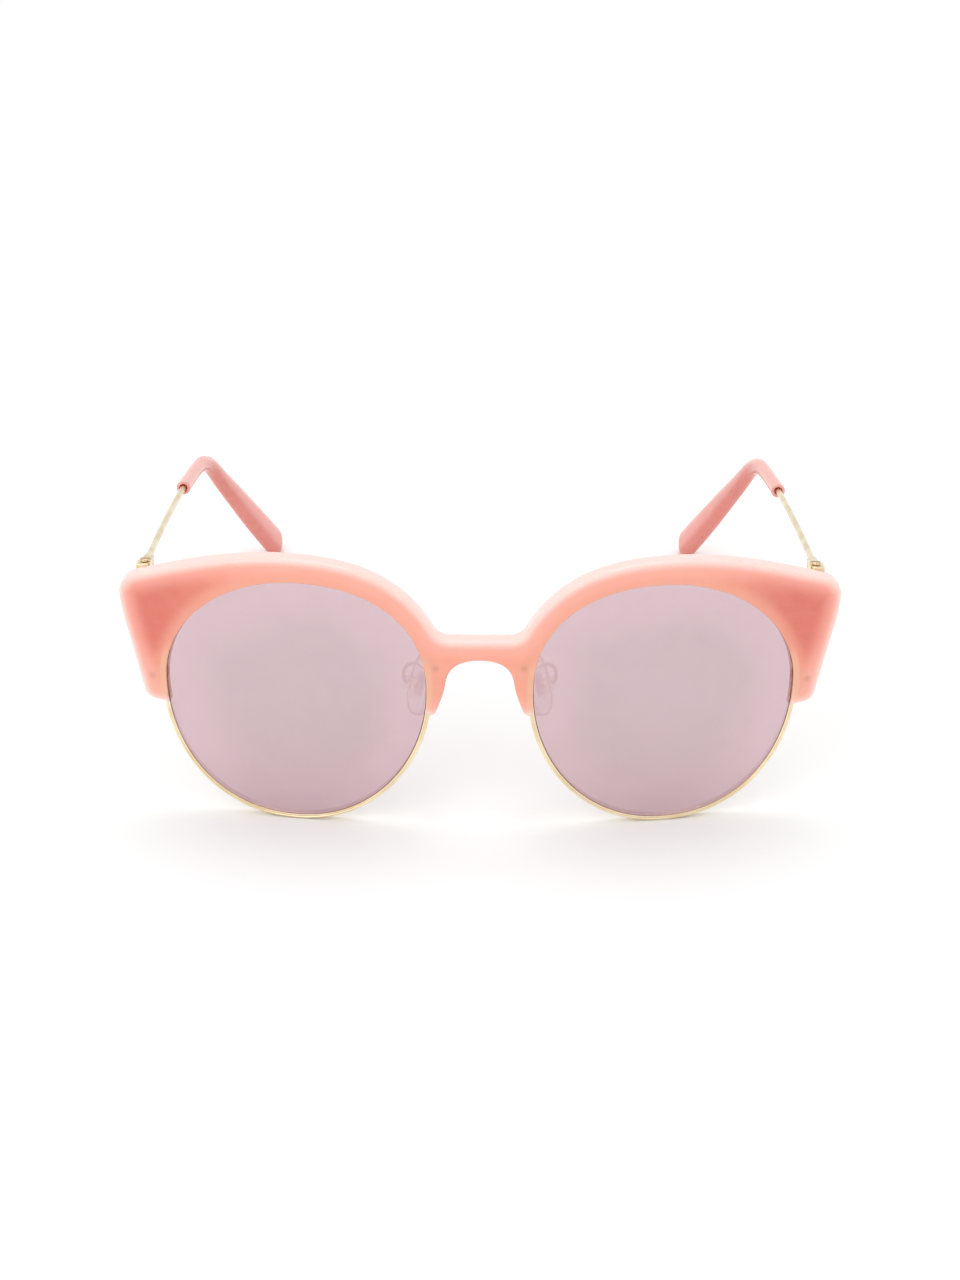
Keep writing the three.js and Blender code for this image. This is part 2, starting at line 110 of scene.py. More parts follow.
def pad_frame():
    """A pad's frame in the front: +Y towards the nose, +Z along the pad, +X along its screw."""
    to_nose = PAD_TO_NOSE.normalized()
    across = to_nose.cross(PAD_UPRIGHT.normalized()).normalized()
    up = across.cross(to_nose)
    return Matrix.Translation(PAD_CENTRE) @ Matrix((across, to_nose, up)).transposed().to_4x4()


PAD_IN_FRONT = pad_frame()


def sag(x):
    """How far the front has bent back at x."""
    return x * x / (2 * WRAP_RADIUS)


def bend(bm):
    for vert in bm.verts:
        vert.co.y += sag(vert.co.x)
    return bm


def seat(spot):
    """Places a piece drawn round its own +Y axis square to the bent front at a spot's x and z."""
    x, z = spot
    return Matrix.Translation((x, sag(x), z)) @ Matrix.Rotation(math.atan(x / WRAP_RADIUS), 4, "Z")


# ---- Curves ----
def power(value, exponent):
    return math.copysign(abs(value) ** exponent, value)


def opening_point(angle, offset=0.0):
    """The lens opening's edge at an angle, moved out by an offset. Angle 0 is the temple side."""
    c, s = math.cos(angle), math.sin(angle)
    side = ("up_" if s > 0 else "down_") + ("outer" if c > 0 else "inner")
    n = SQUARENESS[side]
    reach = OPENING_UP if s > 0 else OPENING_DOWN
    u, v = power(c, 2 / n), power(s, 2 / n)
    normal = Vector((power(u, n - 1) / OPENING_HALF_WIDTH, power(v, n - 1) / reach)).normalized()
    return OPENING_MIDDLE + Vector((OPENING_HALF_WIDTH * u, reach * v)) + normal * offset


def on_opening(x, z):
    """Whether a point lies on the edge of either lens opening."""
    u, v = (abs(x) - OPENING_MIDDLE.x) / OPENING_HALF_WIDTH, z - OPENING_MIDDLE.y
    v /= OPENING_UP if v > 0 else OPENING_DOWN
    n = SQUARENESS[("up_" if v > 0 else "down_") + ("outer" if u > 0 else "inner")]
    return abs(abs(u) ** n + abs(v) ** n - 1) < 1e-3


def angle_at_height(z, inner):
    up = z > OPENING_MIDDLE.y
    reach = OPENING_UP if up else OPENING_DOWN
    n = SQUARENESS[("up_" if up else "down_") + ("inner" if inner else "outer")]
    s = power((z - OPENING_MIDDLE.y) / reach, n / 2)
    return math.pi - math.asin(s) if inner else math.asin(s)


def bezier(*points, steps=12):
    """Points along a Bezier curve, without its first."""
    found = []
    for i in range(1, steps + 1):
        t = i / steps
        row = [Vector(p) for p in points]
        while len(row) > 1:
            row = [a.lerp(b, t) for a, b in zip(row, row[1:])]
        found.append(row[0])
    return found


def follow(points, curves):
    """Carries a line of points on along curves, each given as its steps and its control points."""
    for steps, *controls in curves:
        points += bezier(points[-1], *controls, steps=steps)


def catmull(points, t):
    """A point of the smooth curve through the points, t from 0 to 1."""
    place = t * (len(points) - 1)
    i = min(int(place), len(points) - 2)
    w = place - i
    p0, p1 = points[max(i - 1, 0)], points[i]
    p2, p3 = points[i + 1], points[min(i + 2, len(points) - 1)]
    m1, m2 = (p2 - p0) * 0.5, (p3 - p1) * 0.5
    cubic = (p1 * 2 - p2 * 2 + m1 + m2) * w**3
    return cubic + (p2 * 3 - p1 * 3 - m1 * 2 - m2) * w**2 + m1 * w + p1


def ease(value, low, high):
    t = min(max((value - low) / (high - low), 0), 1)
    return t * t * (3 - 2 * t)


def mix(a, b, t):
    return a + (b - a) * t


# ---- Mesh tools ----
def box(low, high):
    bm = bmesh.new()
    bmesh.ops.create_cube(bm, size=1)
    low, high = Vector(low), Vector(high)
    bmesh.ops.scale(bm, vec=high - low, verts=bm.verts)
    bmesh.ops.translate(bm, vec=(low + high) / 2, verts=bm.verts)
    return bm


def rod(radius, start, end, sides=48):
    """A round bar along +Y."""
    bm = bmesh.new()
    bmesh.ops.create_cone(
        bm, cap_ends=True, segments=sides, radius1=radius, radius2=radius, depth=end - start)
    bmesh.ops.rotate(
        bm, cent=(0, 0, 0), matrix=Matrix.Rotation(-math.pi / 2, 3, "X"), verts=bm.verts)
    bmesh.ops.translate(bm, vec=(0, (start + end) / 2, 0), verts=bm.verts)
    return bm


def post(radius, start, end, sides=48):
    """A round bar along +Z."""
    return moved(rod(radius, start, end, sides), Matrix.Rotation(math.pi / 2, 4, "X"))


def along_x(bm):
    return moved(bm, Matrix.Rotation(math.pi / 2, 4, "Y"))


def moved(bm, matrix):
    bmesh.ops.transform(bm, matrix=matrix, verts=bm.verts)
    if matrix.determinant() < 0:
        bmesh.ops.reverse_faces(bm, faces=bm.faces)
    return bm


def rounded(bm, edges, radius, segments, clamp=False):
    bmesh.ops.bevel(bm, geom=edges, offset=radius, segments=segments, affect="EDGES",
                    profile=0.5, material=-1, clamp_overlap=clamp)
    return bm


def eased(bm, radius, segments=3, angle=math.radians(35)):
    """Rounds the edges that are sharper than an angle."""
    sharp = [e for e in bm.edges if len(e.link_faces) == 2 and e.calc_face_angle(0) > angle]
    return rounded(bm, sharp, radius, segments, clamp=True)


def edges_along(bm, axis, least):
    """The edges that run more than a least length along an axis, 0 for X and 1 for Y."""
    return [e for e in bm.edges if abs(e.verts[0].co[axis] - e.verts[1].co[axis]) > least]


def edges_at_depth(bm, depth):
    return [e for e in bm.edges if all(abs(v.co.y - depth) < SAME_SPOT for v in e.verts)]


def turned(profile, start=0.0, sweep=math.tau, steps=64, closed=False):
    """Spins (radius, height) pairs round +Y. A closed profile goes back to its first pair."""
    bm = bmesh.new()
    verts = [bm.verts.new((r, y, 0)) for r, y in profile]
    pairs = list(zip(verts, verts[1:])) + ([(verts[-1], verts[0])] if closed else [])
    edges = [bm.edges.new(pair) for pair in pairs]
    bmesh.ops.rotate(
        bm, cent=(0, 0, 0), matrix=Matrix.Rotation(-start, 3, "Y"), verts=bm.verts)
    bmesh.ops.spin(bm, geom=verts + edges, cent=(0, 0, 0), axis=(0, 1, 0), angle=sweep,
                   steps=steps, use_merge=sweep >= math.tau)
    bmesh.ops.remove_doubles(bm, verts=bm.verts, dist=SAME_SPOT)
    if sweep < math.tau:
        bmesh.ops.holes_fill(bm, edges=[e for e in bm.edges if e.is_boundary])
    bmesh.ops.recalc_face_normals(bm, faces=bm.faces)
    return bm


def stretched(bm):
    """Carries a turned piece onto the lens opening, whose edge is at radius 1."""
    for vert in bm.verts:
        r = math.hypot(vert.co.x, vert.co.z)
        edge = opening_point(math.atan2(vert.co.z, vert.co.x), max(r - 1, 0))
        place = OPENING_MIDDLE.lerp(edge, min(r, 1))
        vert.co.x, vert.co.z = place
    return bm


def plate(outline, start, end):
    """Extrudes an outline of (x, z) points from start back to end."""
    bm = bmesh.new()
    verts = [bm.verts.new((x, start, z)) for x, z in outline]
    face = bm.faces.new(verts)
    back = bmesh.ops.extrude_face_region(bm, geom=[face], use_keep_orig=True)
    bmesh.ops.translate(bm, vec=(0, end - start, 0),
                        verts=[g for g in back["geom"] if isinstance(g, bmesh.types.BMVert)])
    bmesh.ops.recalc_face_normals(bm, faces=bm.faces)
    return bm


def lofted(stations, sides):
    """Bridges rings: (centre, across, square, half across, half square, squareness) for each."""
    bm = bmesh.new()
    last = None
    for centre, across, square, half_across, half_square, squareness in stations:
        ring = bmesh.ops.create_circle(bm, segments=sides, radius=1)["verts"]
        for vert in ring:
            u, v = power(vert.co.x, 2 / squareness), power(vert.co.y, 2 / squareness)
            vert.co = centre + across * (u * half_across) + square * (v * half_square)
        edges = list({e for vert in ring for e in vert.link_edges})
        if last:
            bmesh.ops.bridge_loops(bm, edges=last + edges)
        last = edges
    bmesh.ops.holes_fill(bm, edges=[e for e in bm.edges if e.is_boundary])
    bmesh.ops.recalc_face_normals(bm, faces=bm.faces)
    return bm


def round_wire(points, radius, count, sides):
    """A round wire on the smooth curve through the points."""
    stations, nearby, up = [], 1e-3, Vector((0, 0, 1))
    for i in range(count + 1):
        t = i / count
        along = catmull(points, min(t + nearby, 1)) - catmull(points, max(t - nearby, 0))
        along.normalize()
        across = (up - along * up.dot(along)).normalized()
        stations.append((catmull(points, t), across, along.cross(across), radius, radius, 2))
    return lofted(stations, sides)


OFF_THE_POINTS = 0.03  # keeps the dividing planes clear of the outlines' own points


def sliced(bm, place, normal):
    bmesh.ops.bisect_plane(bm, geom=bm.verts[:] + bm.edges[:] + bm.faces[:], dist=SAME_SPOT,
                           plane_co=normal * place, plane_no=normal)


def divided(bm, step, reach_x, reach_z=0):
    """Divides wide faces on a grid of planes, so that they bend and take a tone that varies."""
    bmesh.ops.triangulate(bm, faces=[f for f in bm.faces if len(f.verts) > 4])
    for reach, normal in ((reach_x, Vector((1, 0, 0))), (reach_z, Vector((0, 0, 1)))):
        for i in range(-int(reach / step), int(reach / step) + 1):
            sliced(bm, i * step + OFF_THE_POINTS, normal)
    return bm


def object_of(bm, name):
    mesh = bpy.data.meshes.new(name)
    bm.to_mesh(mesh)
    bm.free()
    made = bpy.data.objects.new(name, mesh)
    bpy.context.scene.collection.objects.link(made)
    return made


def solid_after(made, helpers=()):
    """The mesh that an object's modifiers leave. The object and its helpers are removed."""
    bpy.context.view_layer.update()
    bm = bmesh.new()
    bm.from_object(made, bpy.context.evaluated_depsgraph_get())
    for old in [made, *helpers]:
        mesh = old.data
        bpy.data.objects.remove(old)
        bpy.data.meshes.remove(mesh)
    return bm


def combined(body, tools, operation):
    """Joins tools to a body (UNION) or cuts them from it (DIFFERENCE)."""
    base = object_of(body, "base")
    helpers = [object_of(tool, "tool") for tool in tools]
    for helper in helpers:
        step = base.modifiers.new("step", "BOOLEAN")
        step.operation, step.solver, step.object = operation, "MANIFOLD", helper
    bm = solid_after(base, helpers)
    bmesh.ops.remove_doubles(bm, verts=bm.verts, dist=SAME_SPOT)
    bmesh.ops.dissolve_degenerate(bm, edges=bm.edges, dist=SAME_SPOT)
    return bm


def across_and_up(bm):
    """The x and the z of every vertex."""
    return np.array([v.co.x for v in bm.verts]), np.array([v.co.z for v in bm.verts])


def record(bm, name, values):
    """Keeps a value on each vertex, for a finish to read."""
    layer = bm.verts.layers.float.new(name)
    for vert, value in zip(bm.verts, values):
        vert[layer] = value


MIRROR = Matrix.Diagonal((-1, 1, 1, 1))
SHARP_EDGE = math.radians(32)


def show(name, bm, place, body, slot, node, *materials):
    """Makes a finished piece from a mesh drawn in millimetres."""
    moved(bm, place)
    made = object_of(bm, name)
    made.data.shade_smooth()
    made.data.set_sharp_from_angle(angle=SHARP_EDGE)
    for material in materials:
        made.data.materials.append(material)
    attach(made, body)
    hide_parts(node)


def show_pair(stem, bm, place, body, slot, *materials):
    """Shows a piece on the wearer's left, and its mirror image on the right."""
    for side, hand in (("left", Matrix()), ("right", MIRROR)):
        show(f"{stem}_{side}_finished", bm.copy(), hand @ place, body.format(side=side), slot,
             f"{stem}_{side}", *materials)
    bm.free()


# ---- Brow ----
# Steps and control points, from the top of the bridge out to the end of the outer leg
BROW_TOP_CURVES = (
    (12, (8.6, -0.4), (9.7, 2.2)),
    (40, (15.6, 11.3), (24, 15.85), (39, 15.85)),
    (34, (49, 15.85), (58, 13.6), (69.4, 9.85)),
    (14, (72, 9), (73.6, 7.4), (73.35, 5)),
    (7, (73.2, 2.6), (72.4, -0.8)),
    (8, (70.6, -8.2)),
    (8, (68.98, -15.2)),
    (9, (68.6, -17.05), (66.9, -17.35)))
# The same from the end of the inner leg to the bridge's underside
INNER_LEG_CURVES = (
    (12, (10.4, -17.4), (9.0, -17.5), (8.6, -15.6)),
    (12, (7.8, -13.6), (7.3, -12.4), (6.9, -9.8)),
    (16, (6.4, -6.4), (3.9, BRIDGE_BOTTOM), (0, BRIDGE_BOTTOM)))
ARCH_STEPS = 100


def brow_half():
    """Half of the brow's outline, from the top of the bridge round both legs to its underside."""
    half = [Vector((x, BRIDGE_TOP)) for x in (0, 3.2, 6.2)]
    follow(half, BROW_TOP_CURVES)
    start, stop = angle_at_height(OUTER_LEG_END, False), angle_at_height(INNER_LEG_END, True)
    half += bezier(half[-1], opening_point(start), steps=5)
    half += [opening_point(mix(start, stop, i / ARCH_STEPS)) for i in range(1, ARCH_STEPS + 1)]
    follow(half, INNER_LEG_CURVES)
    return half


LENS_RINGS = (0, 0.04, 0.1, 0.18, 0.27, 0.36, 0.45, 0.54, 0.63, 0.72, 0.8, 0.87, 0.93, 0.97,
              0.985, 0.996)
GROOVE_RINGS = (0, 0.5, 0.997)  # a cutter has no need of more
LENS_EDGE_FLAT, GROOVE_FLAT = 0.15, 0.2  # half of the flat at the tip of the V
GROOVE_EDGE = 1.45


def v_edged_disc(front, back, edge, flat, rings):
    """A disc in the lens opening, with a V-shaped edge that stands out past it."""
    middle = (front + back) / 2
    profile = [(r, front) for r in rings] + [(edge, middle - flat), (edge, middle + flat)]
    profile += [(r, back) for r in reversed(rings)]
    return bend(stretched(turned(profile, steps=144)))


def lens_solid():
    return v_edged_disc(LENS_FRONT, LENS_FRONT + LENS_THICKNESS, 1 + LENS_BEVEL, LENS_EDGE_FLAT,
                        LENS_RINGS)


def groove_solid():
    """The lens with its room."""
    return v_edged_disc(LENS_FRONT - ROOM, LENS_FRONT + LENS_THICKNESS + ROOM,
                        GROOVE_EDGE + ROOM, GROOVE_FLAT, GROOVE_RINGS)


POCKET_INSIDE = 0.97
POCKET_PAST_RIM = math.radians(2.5)


def rim_pocket():
    """The room that a rim takes behind the lip of a leg, open at the back."""
    start, stop = RIM_START + POCKET_PAST_RIM, RIM_END - POCKET_PAST_RIM
    front, back, outside = RIM_FRONT - ROOM, BROW_THICKNESS + 2, 1 + RIM_WIDTH + ROOM
    profile = [(POCKET_INSIDE, front), (outside, front), (outside, back), (POCKET_INSIDE, back)]
    return bend(stretched(turned(profile, start, start - stop, 110, closed=True)))


EYELET_ROUNDING = 0.12
EYELET_RECESS = 4  # far enough to be open at the back


def eyelet_parts(spot, grow=0.0):
    """A rim's eyelet, a round tab on a tongue. Grown, it is the recess for them."""
    inner = spot[0] < OPENING_MIDDLE.x
    reach = opening_point(angle_at_height(spot[1], inner), RIM_WIDTH / 2).x - spot[0]
    low, high = EYELET_DEPTH - grow, EYELET_DEPTH + (EYELET_RECESS if grow else EYELET_THICKNESS)
    half = EYELET_TONGUE / 2 + grow
    tab = rod(EYELET_RADIUS + grow, low, high)
    tongue = box((min(reach, 0), low, -half), (max(reach, 0), high, half))
    if not grow:
        eased(tab, EYELET_ROUNDING)
        eased(tongue, EYELET_ROUNDING)
    return [moved(tab, seat(spot)), moved(tongue, seat(spot))]


def screw_hole(spot, start, end):
    return moved(rod(SCREW_RADIUS + ROOM, start, end, 24), seat(spot))


def distance_to(points, x, z):
    """The shortest distance in x and z from each vertex to a closed outline."""
    a = np.array([tuple(p) for p in points])
    b = np.roll(a, -1, axis=0)
    place = np.stack([x, z], axis=1)[:, None, :]
    along = b - a
    length = np.maximum((along**2).sum(axis=1), 1e-12)
    t = np.clip(((place - a) * along).sum(axis=2) / length, 0, 1)
    return np.sqrt((((a + t[:, :, None] * along) - place) ** 2).sum(axis=2)).min(axis=1)


OPENING_OUTLINE = [opening_point(math.radians(a)) for a in range(0, 360, 2)]
BROW_ROUNDING = 0.95  # of the front's outer edge
BROW_BACK_ROUNDING = 0.5
ARCH_ROUNDING = 0.3  # of both edges round the lens
BEND_STEP, BROW_GRID = 3.5, 2.0
BROW_REACH, BROW_REACH_UP = 75, 18
RIM_HOLE_START, PLATE_HOLE_START = 0.8, 1.2
CLEAR_OF_OPENING = 0.25
INNER_LEG_REACH, INNER_LEG_TOP = 10.5, -2


def brow():
    half = brow_half()
    bm = plate(half + [Vector((-p.x, p.y)) for p in reversed(half[1:-1])], 0, BROW_THICKNESS)
    for depth, outer_radius in ((0, BROW_ROUNDING), (BROW_THICKNESS, BROW_BACK_ROUNDING)):
        for arch, radius, segments in ((False, outer_radius, 6), (True, ARCH_ROUNDING, 3)):
            edges = [e for e in edges_at_depth(bm, depth)
                     if all(on_opening(v.co.x, v.co.z) for v in e.verts) == arch]
            rounded(bm, edges, radius, segments)
    bend(divided(bm, BEND_STEP, BROW_REACH))
    cutters = [groove_solid(), rim_pocket()]
    for spot in RIM_SCREWS.values():
        cutters += eyelet_parts(spot, ROOM)
        cutters.append(screw_hole(spot, RIM_HOLE_START, BROW_THICKNESS))
    for spot in PLATE_SCREWS.values():
        cutters.append(screw_hole(spot, PLATE_HOLE_START, BROW_THICKNESS + 1))
    cutters += [moved(cutter.copy(), MIRROR) for cutter in cutters]
    bm = divided(combined(bm, cutters, "DIFFERENCE"), BROW_GRID, BROW_REACH, BROW_REACH_UP)
    x, z = across_and_up(bm)
    outer = [p for p in half if distance_to(OPENING_OUTLINE, [p.x], [p.y])[0] > CLEAR_OF_OPENING
             and (p.x > INNER_LEG_REACH or p.y > INNER_LEG_TOP)]
    outer += [Vector((-p.x, p.y)) for p in reversed(outer)]
    record(bm, "from_edge", distance_to(outer, x, z))
    record(bm, "from_lens", distance_to(OPENING_OUTLINE, np.abs(x), z))
    return bm


# ---- Rims and lenses ----
def rim_profile():
    """The rim's section as (1 + offset, depth): a bead, and a thinner lip by the lens."""
    front, back, width = RIM_FRONT, RIM_FRONT + RIM_DEPTH, RIM_WIDTH
    section = [(0.02, back - 0.6), (0.02, back - 0.2), (0.08, back - 0.06), (0.2, back)]
    section += [(width - 0.4, back), (width - 0.16, back - 0.06), (width - 0.05, back - 0.2)]
    section += [(width, back - 0.42)]
    section += [(width, front + 0.62), (width - 0.04, front + 0.38), (width - 0.14, front + 0.2)]
    section += [(width - 0.3, front + 0.1), (width - 0.46, front + 0.09)]
    section += [(width - 0.56, front + 0.15), (width - 0.63, front + 0.13)]
    section += [(0.32, front + 0.04), (0.24, front), (0.14, front)]
    section += [(0.05, front + 0.05), (0.02, front + 0.14), (0.02, front + 0.6)]
    return [(1 + offset, depth) for offset, depth in section]


def rim():
    wire = turned(rim_profile(), RIM_START, RIM_START - RIM_END, 130, closed=True)
    wire = bend(stretched(wire))
    eyelets = [part for spot in RIM_SCREWS.values() for part in eyelet_parts(spot)]
    whole = combined(wire, eyelets, "UNION")
    holes = [screw_hole(spot, 0, 6) for spot in RIM_SCREWS.values()]
    return combined(whole, [groove_solid(), *holes], "DIFFERENCE")


# ---- Screws ----
THREAD_PITCH, THREAD_DEPTH = 0.25, 0.07
THREAD_CLEARS_POINT, THREAD_CLEARS_HEAD = 0.35, 0.5
SLOT_HALF, SLOT_FLOOR = 0.14, 0.42  # the floor is a share of the head's height


def screw(length, head_radius=1.05, head_height=0.55, shank=SCREW_RADIUS):
    """A slotted cheese-head screw along +Y, its seat at 0 and its thread towards -Y."""
    profile, y = [(0, -length), (shank * 0.6, -length)], -length + THREAD_CLEARS_POINT
    while y < -THREAD_CLEARS_HEAD:
        profile += [(shank - THREAD_DEPTH, y), (shank, y + THREAD_PITCH / 2)]
        y += THREAD_PITCH
    r, h = head_radius, head_height
    profile += [(shank, -0.4), (shank, 0), (r - 0.08, 0), (r, 0.08), (r, h * 0.62)]
    profile += [(r * 0.96, h * 0.78), (r * 0.86, h * 0.91), (r * 0.66, h * 0.98), (r * 0.3, h)]
    profile += [(0, h)]
    slot = box((-2, h * SLOT_FLOOR, -SLOT_HALF), (2, 2, SLOT_HALF))
    return combined(turned(profile, steps=40), [slot], "DIFFERENCE")


# ---- Nose pads ----
def pad_outline(grow=0.0):
    half, top = PAD_WIDTH / 2 + grow, PAD_LENGTH / 2 + grow
    points = bezier(
        (0, top), (half * 0.9, top), (half, top * 0.35), (half, -top * 0.2), steps=20)
    points += bezier(points[-1], (half, -top * 0.75), (half * 0.6, -top), (0, -top), steps=20)
    return points + [Vector((-p.x, p.y)) for p in reversed(points[:-1])] + [Vector((0, top))]


LUG_THICKNESS, LUG_RADIUS, LUG_NECK = 1.0, 0.85, 2.1
CUP_WIDTH, CUP_SLOT, CUP_DEPTH, CUP_HEIGHT = 3.0, 1.3, 2.4, 2.6
FOOT_HALF_WIDTH, FOOT_HALF_LENGTH, FOOT_START, FOOT_END = 1.3, 2.4, 0.6, 1.2
PIN_RADIUS = 0.36


def pin_hole(reach):
    return along_x(post(PIN_RADIUS + ROOM, -reach, reach, 24))


def insert_parts(grow=0.0):
    """The insert's eye, then its neck and foot. Grown, they are the room that it takes."""
    half = LUG_THICKNESS / 2 + grow
    ear = along_x(post(LUG_RADIUS + grow, -half, half, 32))
    neck = box((-half, 0, -LUG_RADIUS * 0.8 - grow), (half, LUG_NECK, LUG_RADIUS * 0.8 + grow))
    foot = box((-FOOT_HALF_WIDTH - grow, PAD_BACK + FOOT_START - grow, -FOOT_HALF_LENGTH - grow),
               (FOOT_HALF_WIDTH + grow, PAD_BACK + FOOT_END + grow, FOOT_HALF_LENGTH + grow))
    rounded(foot, edges_along(foot, 1, 0.1), 1.0, 5)
    if not grow:
        for part in (ear, neck, foot):
            eased(part, 0.08, 2)
    return ear, [neck, foot]


def pad_insert():
    ear, others = insert_parts()
    return combined(combined(ear, others, "UNION"), [pin_hole(2)], "DIFFERENCE")


PAD_FACE_ROUNDING, PAD_BACK_ROUNDING = 1.25, 0.5


def nose_pad():
    """A soft oval pad: a flat back with a rounded edge, and a domed face towards the nose."""
    bm = plate([(p.x, p.y) for p in pad_outline()], PAD_BACK, PAD_BACK + PAD_THICKNESS)
    rounded(bm, edges_at_depth(bm, PAD_BACK + PAD_THICKNESS), PAD_FACE_ROUNDING, 7)
    rounded(bm, edges_at_depth(bm, PAD_BACK), PAD_BACK_ROUNDING, 4)
    ear, others = insert_parts(ROOM)
    return combined(bm, [ear, *others], "DIFFERENCE")


ARM_JOINT = Vector((10.4, RIM_FRONT + RIM_DEPTH + 0.5, -9.6))
ARM_POINTS = [ARM_JOINT, Vector((11.1, 5.6, -9)), Vector((13, 7.3, -8.4)),
              Vector((15.1, 8.6, -9.6)), Vector((15.7, 9.4, -12.2)),
              PAD_IN_FRONT @ Vector((0, -1.2, 0))]
ARM_RADIUS = 0.45
WELD_SIZE = (0.78, 0.42, 0.82)
CUP_BACK = -1.5
CUP_ROUNDING, CUP_MOUTH_ROUNDING = 0.12, 0.55


def pad_arm():
    """A wire from a weld by the rim out and round to the cup that holds the pad."""
    wire = round_wire(ARM_POINTS, ARM_RADIUS, 44, 16)
    weld = bmesh.new()
    bmesh.ops.create_uvsphere(weld, u_segments=20, v_segments=12, radius=1)
    bmesh.ops.scale(weld, vec=WELD_SIZE, verts=weld.verts)
    bmesh.ops.translate(weld, vec=ARM_JOINT + Vector((0.05, -0.02, 0)), verts=weld.verts)
    holder = box((-CUP_WIDTH / 2, CUP_BACK, -CUP_HEIGHT / 2),
                 (CUP_WIDTH / 2, CUP_DEPTH + CUP_BACK, CUP_HEIGHT / 2))
    rounded(holder, edges_along(holder, 0, 1), CUP_MOUTH_ROUNDING, 5)
    eased(holder, CUP_ROUNDING)
    slot = box((-CUP_SLOT / 2, -1, -3), (CUP_SLOT / 2, 3, 3))
    cup = moved(combined(holder, [slot, pin_hole(4)], "DIFFERENCE"), PAD_IN_FRONT)
    return combined(wire, [cup, weld], "UNION")


def pad_screw():
    bm = screw(CUP_WIDTH, 0.7, 0.45, PIN_RADIUS)
    moved(bm, Matrix.Translation((0, CUP_WIDTH / 2 + 0.02, 0)))
    return moved(bm, Matrix.Rotation(-math.pi / 2, 4, "Z"))


# ---- Hinges ----
HINGE_TOP = MIDDLE_KNUCKLE / 2 + ROOM
PIN_BORE = 0.6
KNUCKLE_ROUNDING = 0.1
PLATE_FRONT = BROW_THICKNESS + 0.1
PLATE_LEFT, PLATE_RIGHT = 62.3, 71.2
PLATE_CORNER_ROUNDING, PLATE_ROUNDING, BRACKET_ROUNDING = 0.9, 0.16, 0.22
WEB_HALF, WEB_REACH = 0.75, 2.4


def hinge_plate():
    """A leaf that follows the brow's back, with two knuckles and a bracket between them."""
    outline = [(PLATE_LEFT, 2.4), (69.9, 2.4), (PLATE_RIGHT, 6.8)]
    outline += [tuple(p) for p in bezier(outline[-1], (71.4, 8.6), (69.6, 9.4), steps=8)]
    outline += [(66.4, 10.2), (PLATE_LEFT, 10.2)]
    leaf = plate(outline, PLATE_FRONT, PLATE_FRONT + PLATE_THICKNESS)
    corners = [e for e in edges_along(leaf, 1, 0.5) if e.verts[0].co.x < PLATE_LEFT + 0.7]
    rounded(leaf, corners, PLATE_CORNER_ROUNDING, 5)
    eased(leaf, PLATE_ROUNDING)
    for x in range(60, 74):
        sliced(leaf, x + 0.02, Vector((1, 0, 0)))
    bend(leaf)
    parts = []
    for low, high in ((HINGE_TOP, HINGE_TOP + KNUCKLE_HEIGHT),
                      (-HINGE_TOP - KNUCKLE_HEIGHT, -HINGE_TOP)):
        parts.append(eased(post(KNUCKLE_RADIUS, low, high), KNUCKLE_ROUNDING))
        web = box((-WEB_HALF, -WEB_REACH, low), (WEB_HALF, 0, high))
        parts.append(eased(web, KNUCKLE_ROUNDING))
    parts.append(eased(box((0.2, -1.7, -1.9), (1.75, 1.8, 1.9)), BRACKET_ROUNDING))
    whole = combined(leaf, [moved(part, HINGE_IN_FRONT) for part in parts], "UNION")
    bore = moved(post(PIN_BORE, -4, 4), HINGE_IN_FRONT)
    swing = moved(post(KNUCKLE_RADIUS + 0.15, -HINGE_TOP, HINGE_TOP), HINGE_IN_FRONT)
    holes = [screw_hole(spot, 2, 8) for spot in PLATE_SCREWS.values()]
    return combined(whole, [bore, swing, *holes], "DIFFERENCE")


def hinge_screw():
    top = HINGE_TOP + KNUCKLE_HEIGHT
    upright = Matrix.Translation((0, 0, top + HEAD_ROOM)) @ Matrix.Rotation(math.pi / 2, 4, "X")
    return moved(screw(2 * top + 0.1, 1.1, 0.6), HINGE_IN_FRONT @ upright)


# ---- Temples, in the hinge's frame ----
# How far along and how far out
SIDEWAYS = [Vector(p) for p in (
    (0, 0.7), (45, 0.5), (77, -0.5), (97, -2.6), (118, -9.3), (139.5, -17.1))]


def sideways_at(s):
    """How far out the temple is where it has run s along."""
    low, high = 0.0, 1.0
    for _ in range(24):
        t = (low + high) / 2
        low, high = (t, high) if catmull(SIDEWAYS, t).x < s else (low, t)
    return catmull(SIDEWAYS, low).y


def temple_point(s):
    bend_start = TEMPLE_TO_BEND - BEND_RADIUS * math.tan(BEND_ANGLE / 2)
    turn = min(max((s - bend_start) / BEND_RADIUS, 0), BEND_ANGLE)
    past = max(s - bend_start - BEND_RADIUS * BEND_ANGLE, 0)
    y = min(s, bend_start) + BEND_RADIUS * math.sin(turn) + past * math.cos(turn)
    z = -BEND_RADIUS * (1 - math.cos(turn)) - past * math.sin(turn)
    return Vector((sideways_at(s), y, z))


def temple_bar(places, section, sides):
    """A bar along the temple. Its section is half its width, half its height and squareness."""
    stations = []
    for s in places:
        along = (temple_point(s + 0.05) - temple_point(s - 0.05)).normalized()
        across = (Vector((1, 0, 0)) - along * along.x).normalized()
        stations.append((temple_point(s), across, along.cross(across), *section(s)))
    return lofted(stations, sides)


def steps_between(start, end, count):
    return [mix(start, end, i / count) for i in range(count + 1)]


FLAT_END_HALF = 1.35  # half the height of the wire's flattened end, by the hinge
FLAT_UNTIL, ROUND_FROM = 7, 14
BOXY, ROUND = 4, 2  # squareness


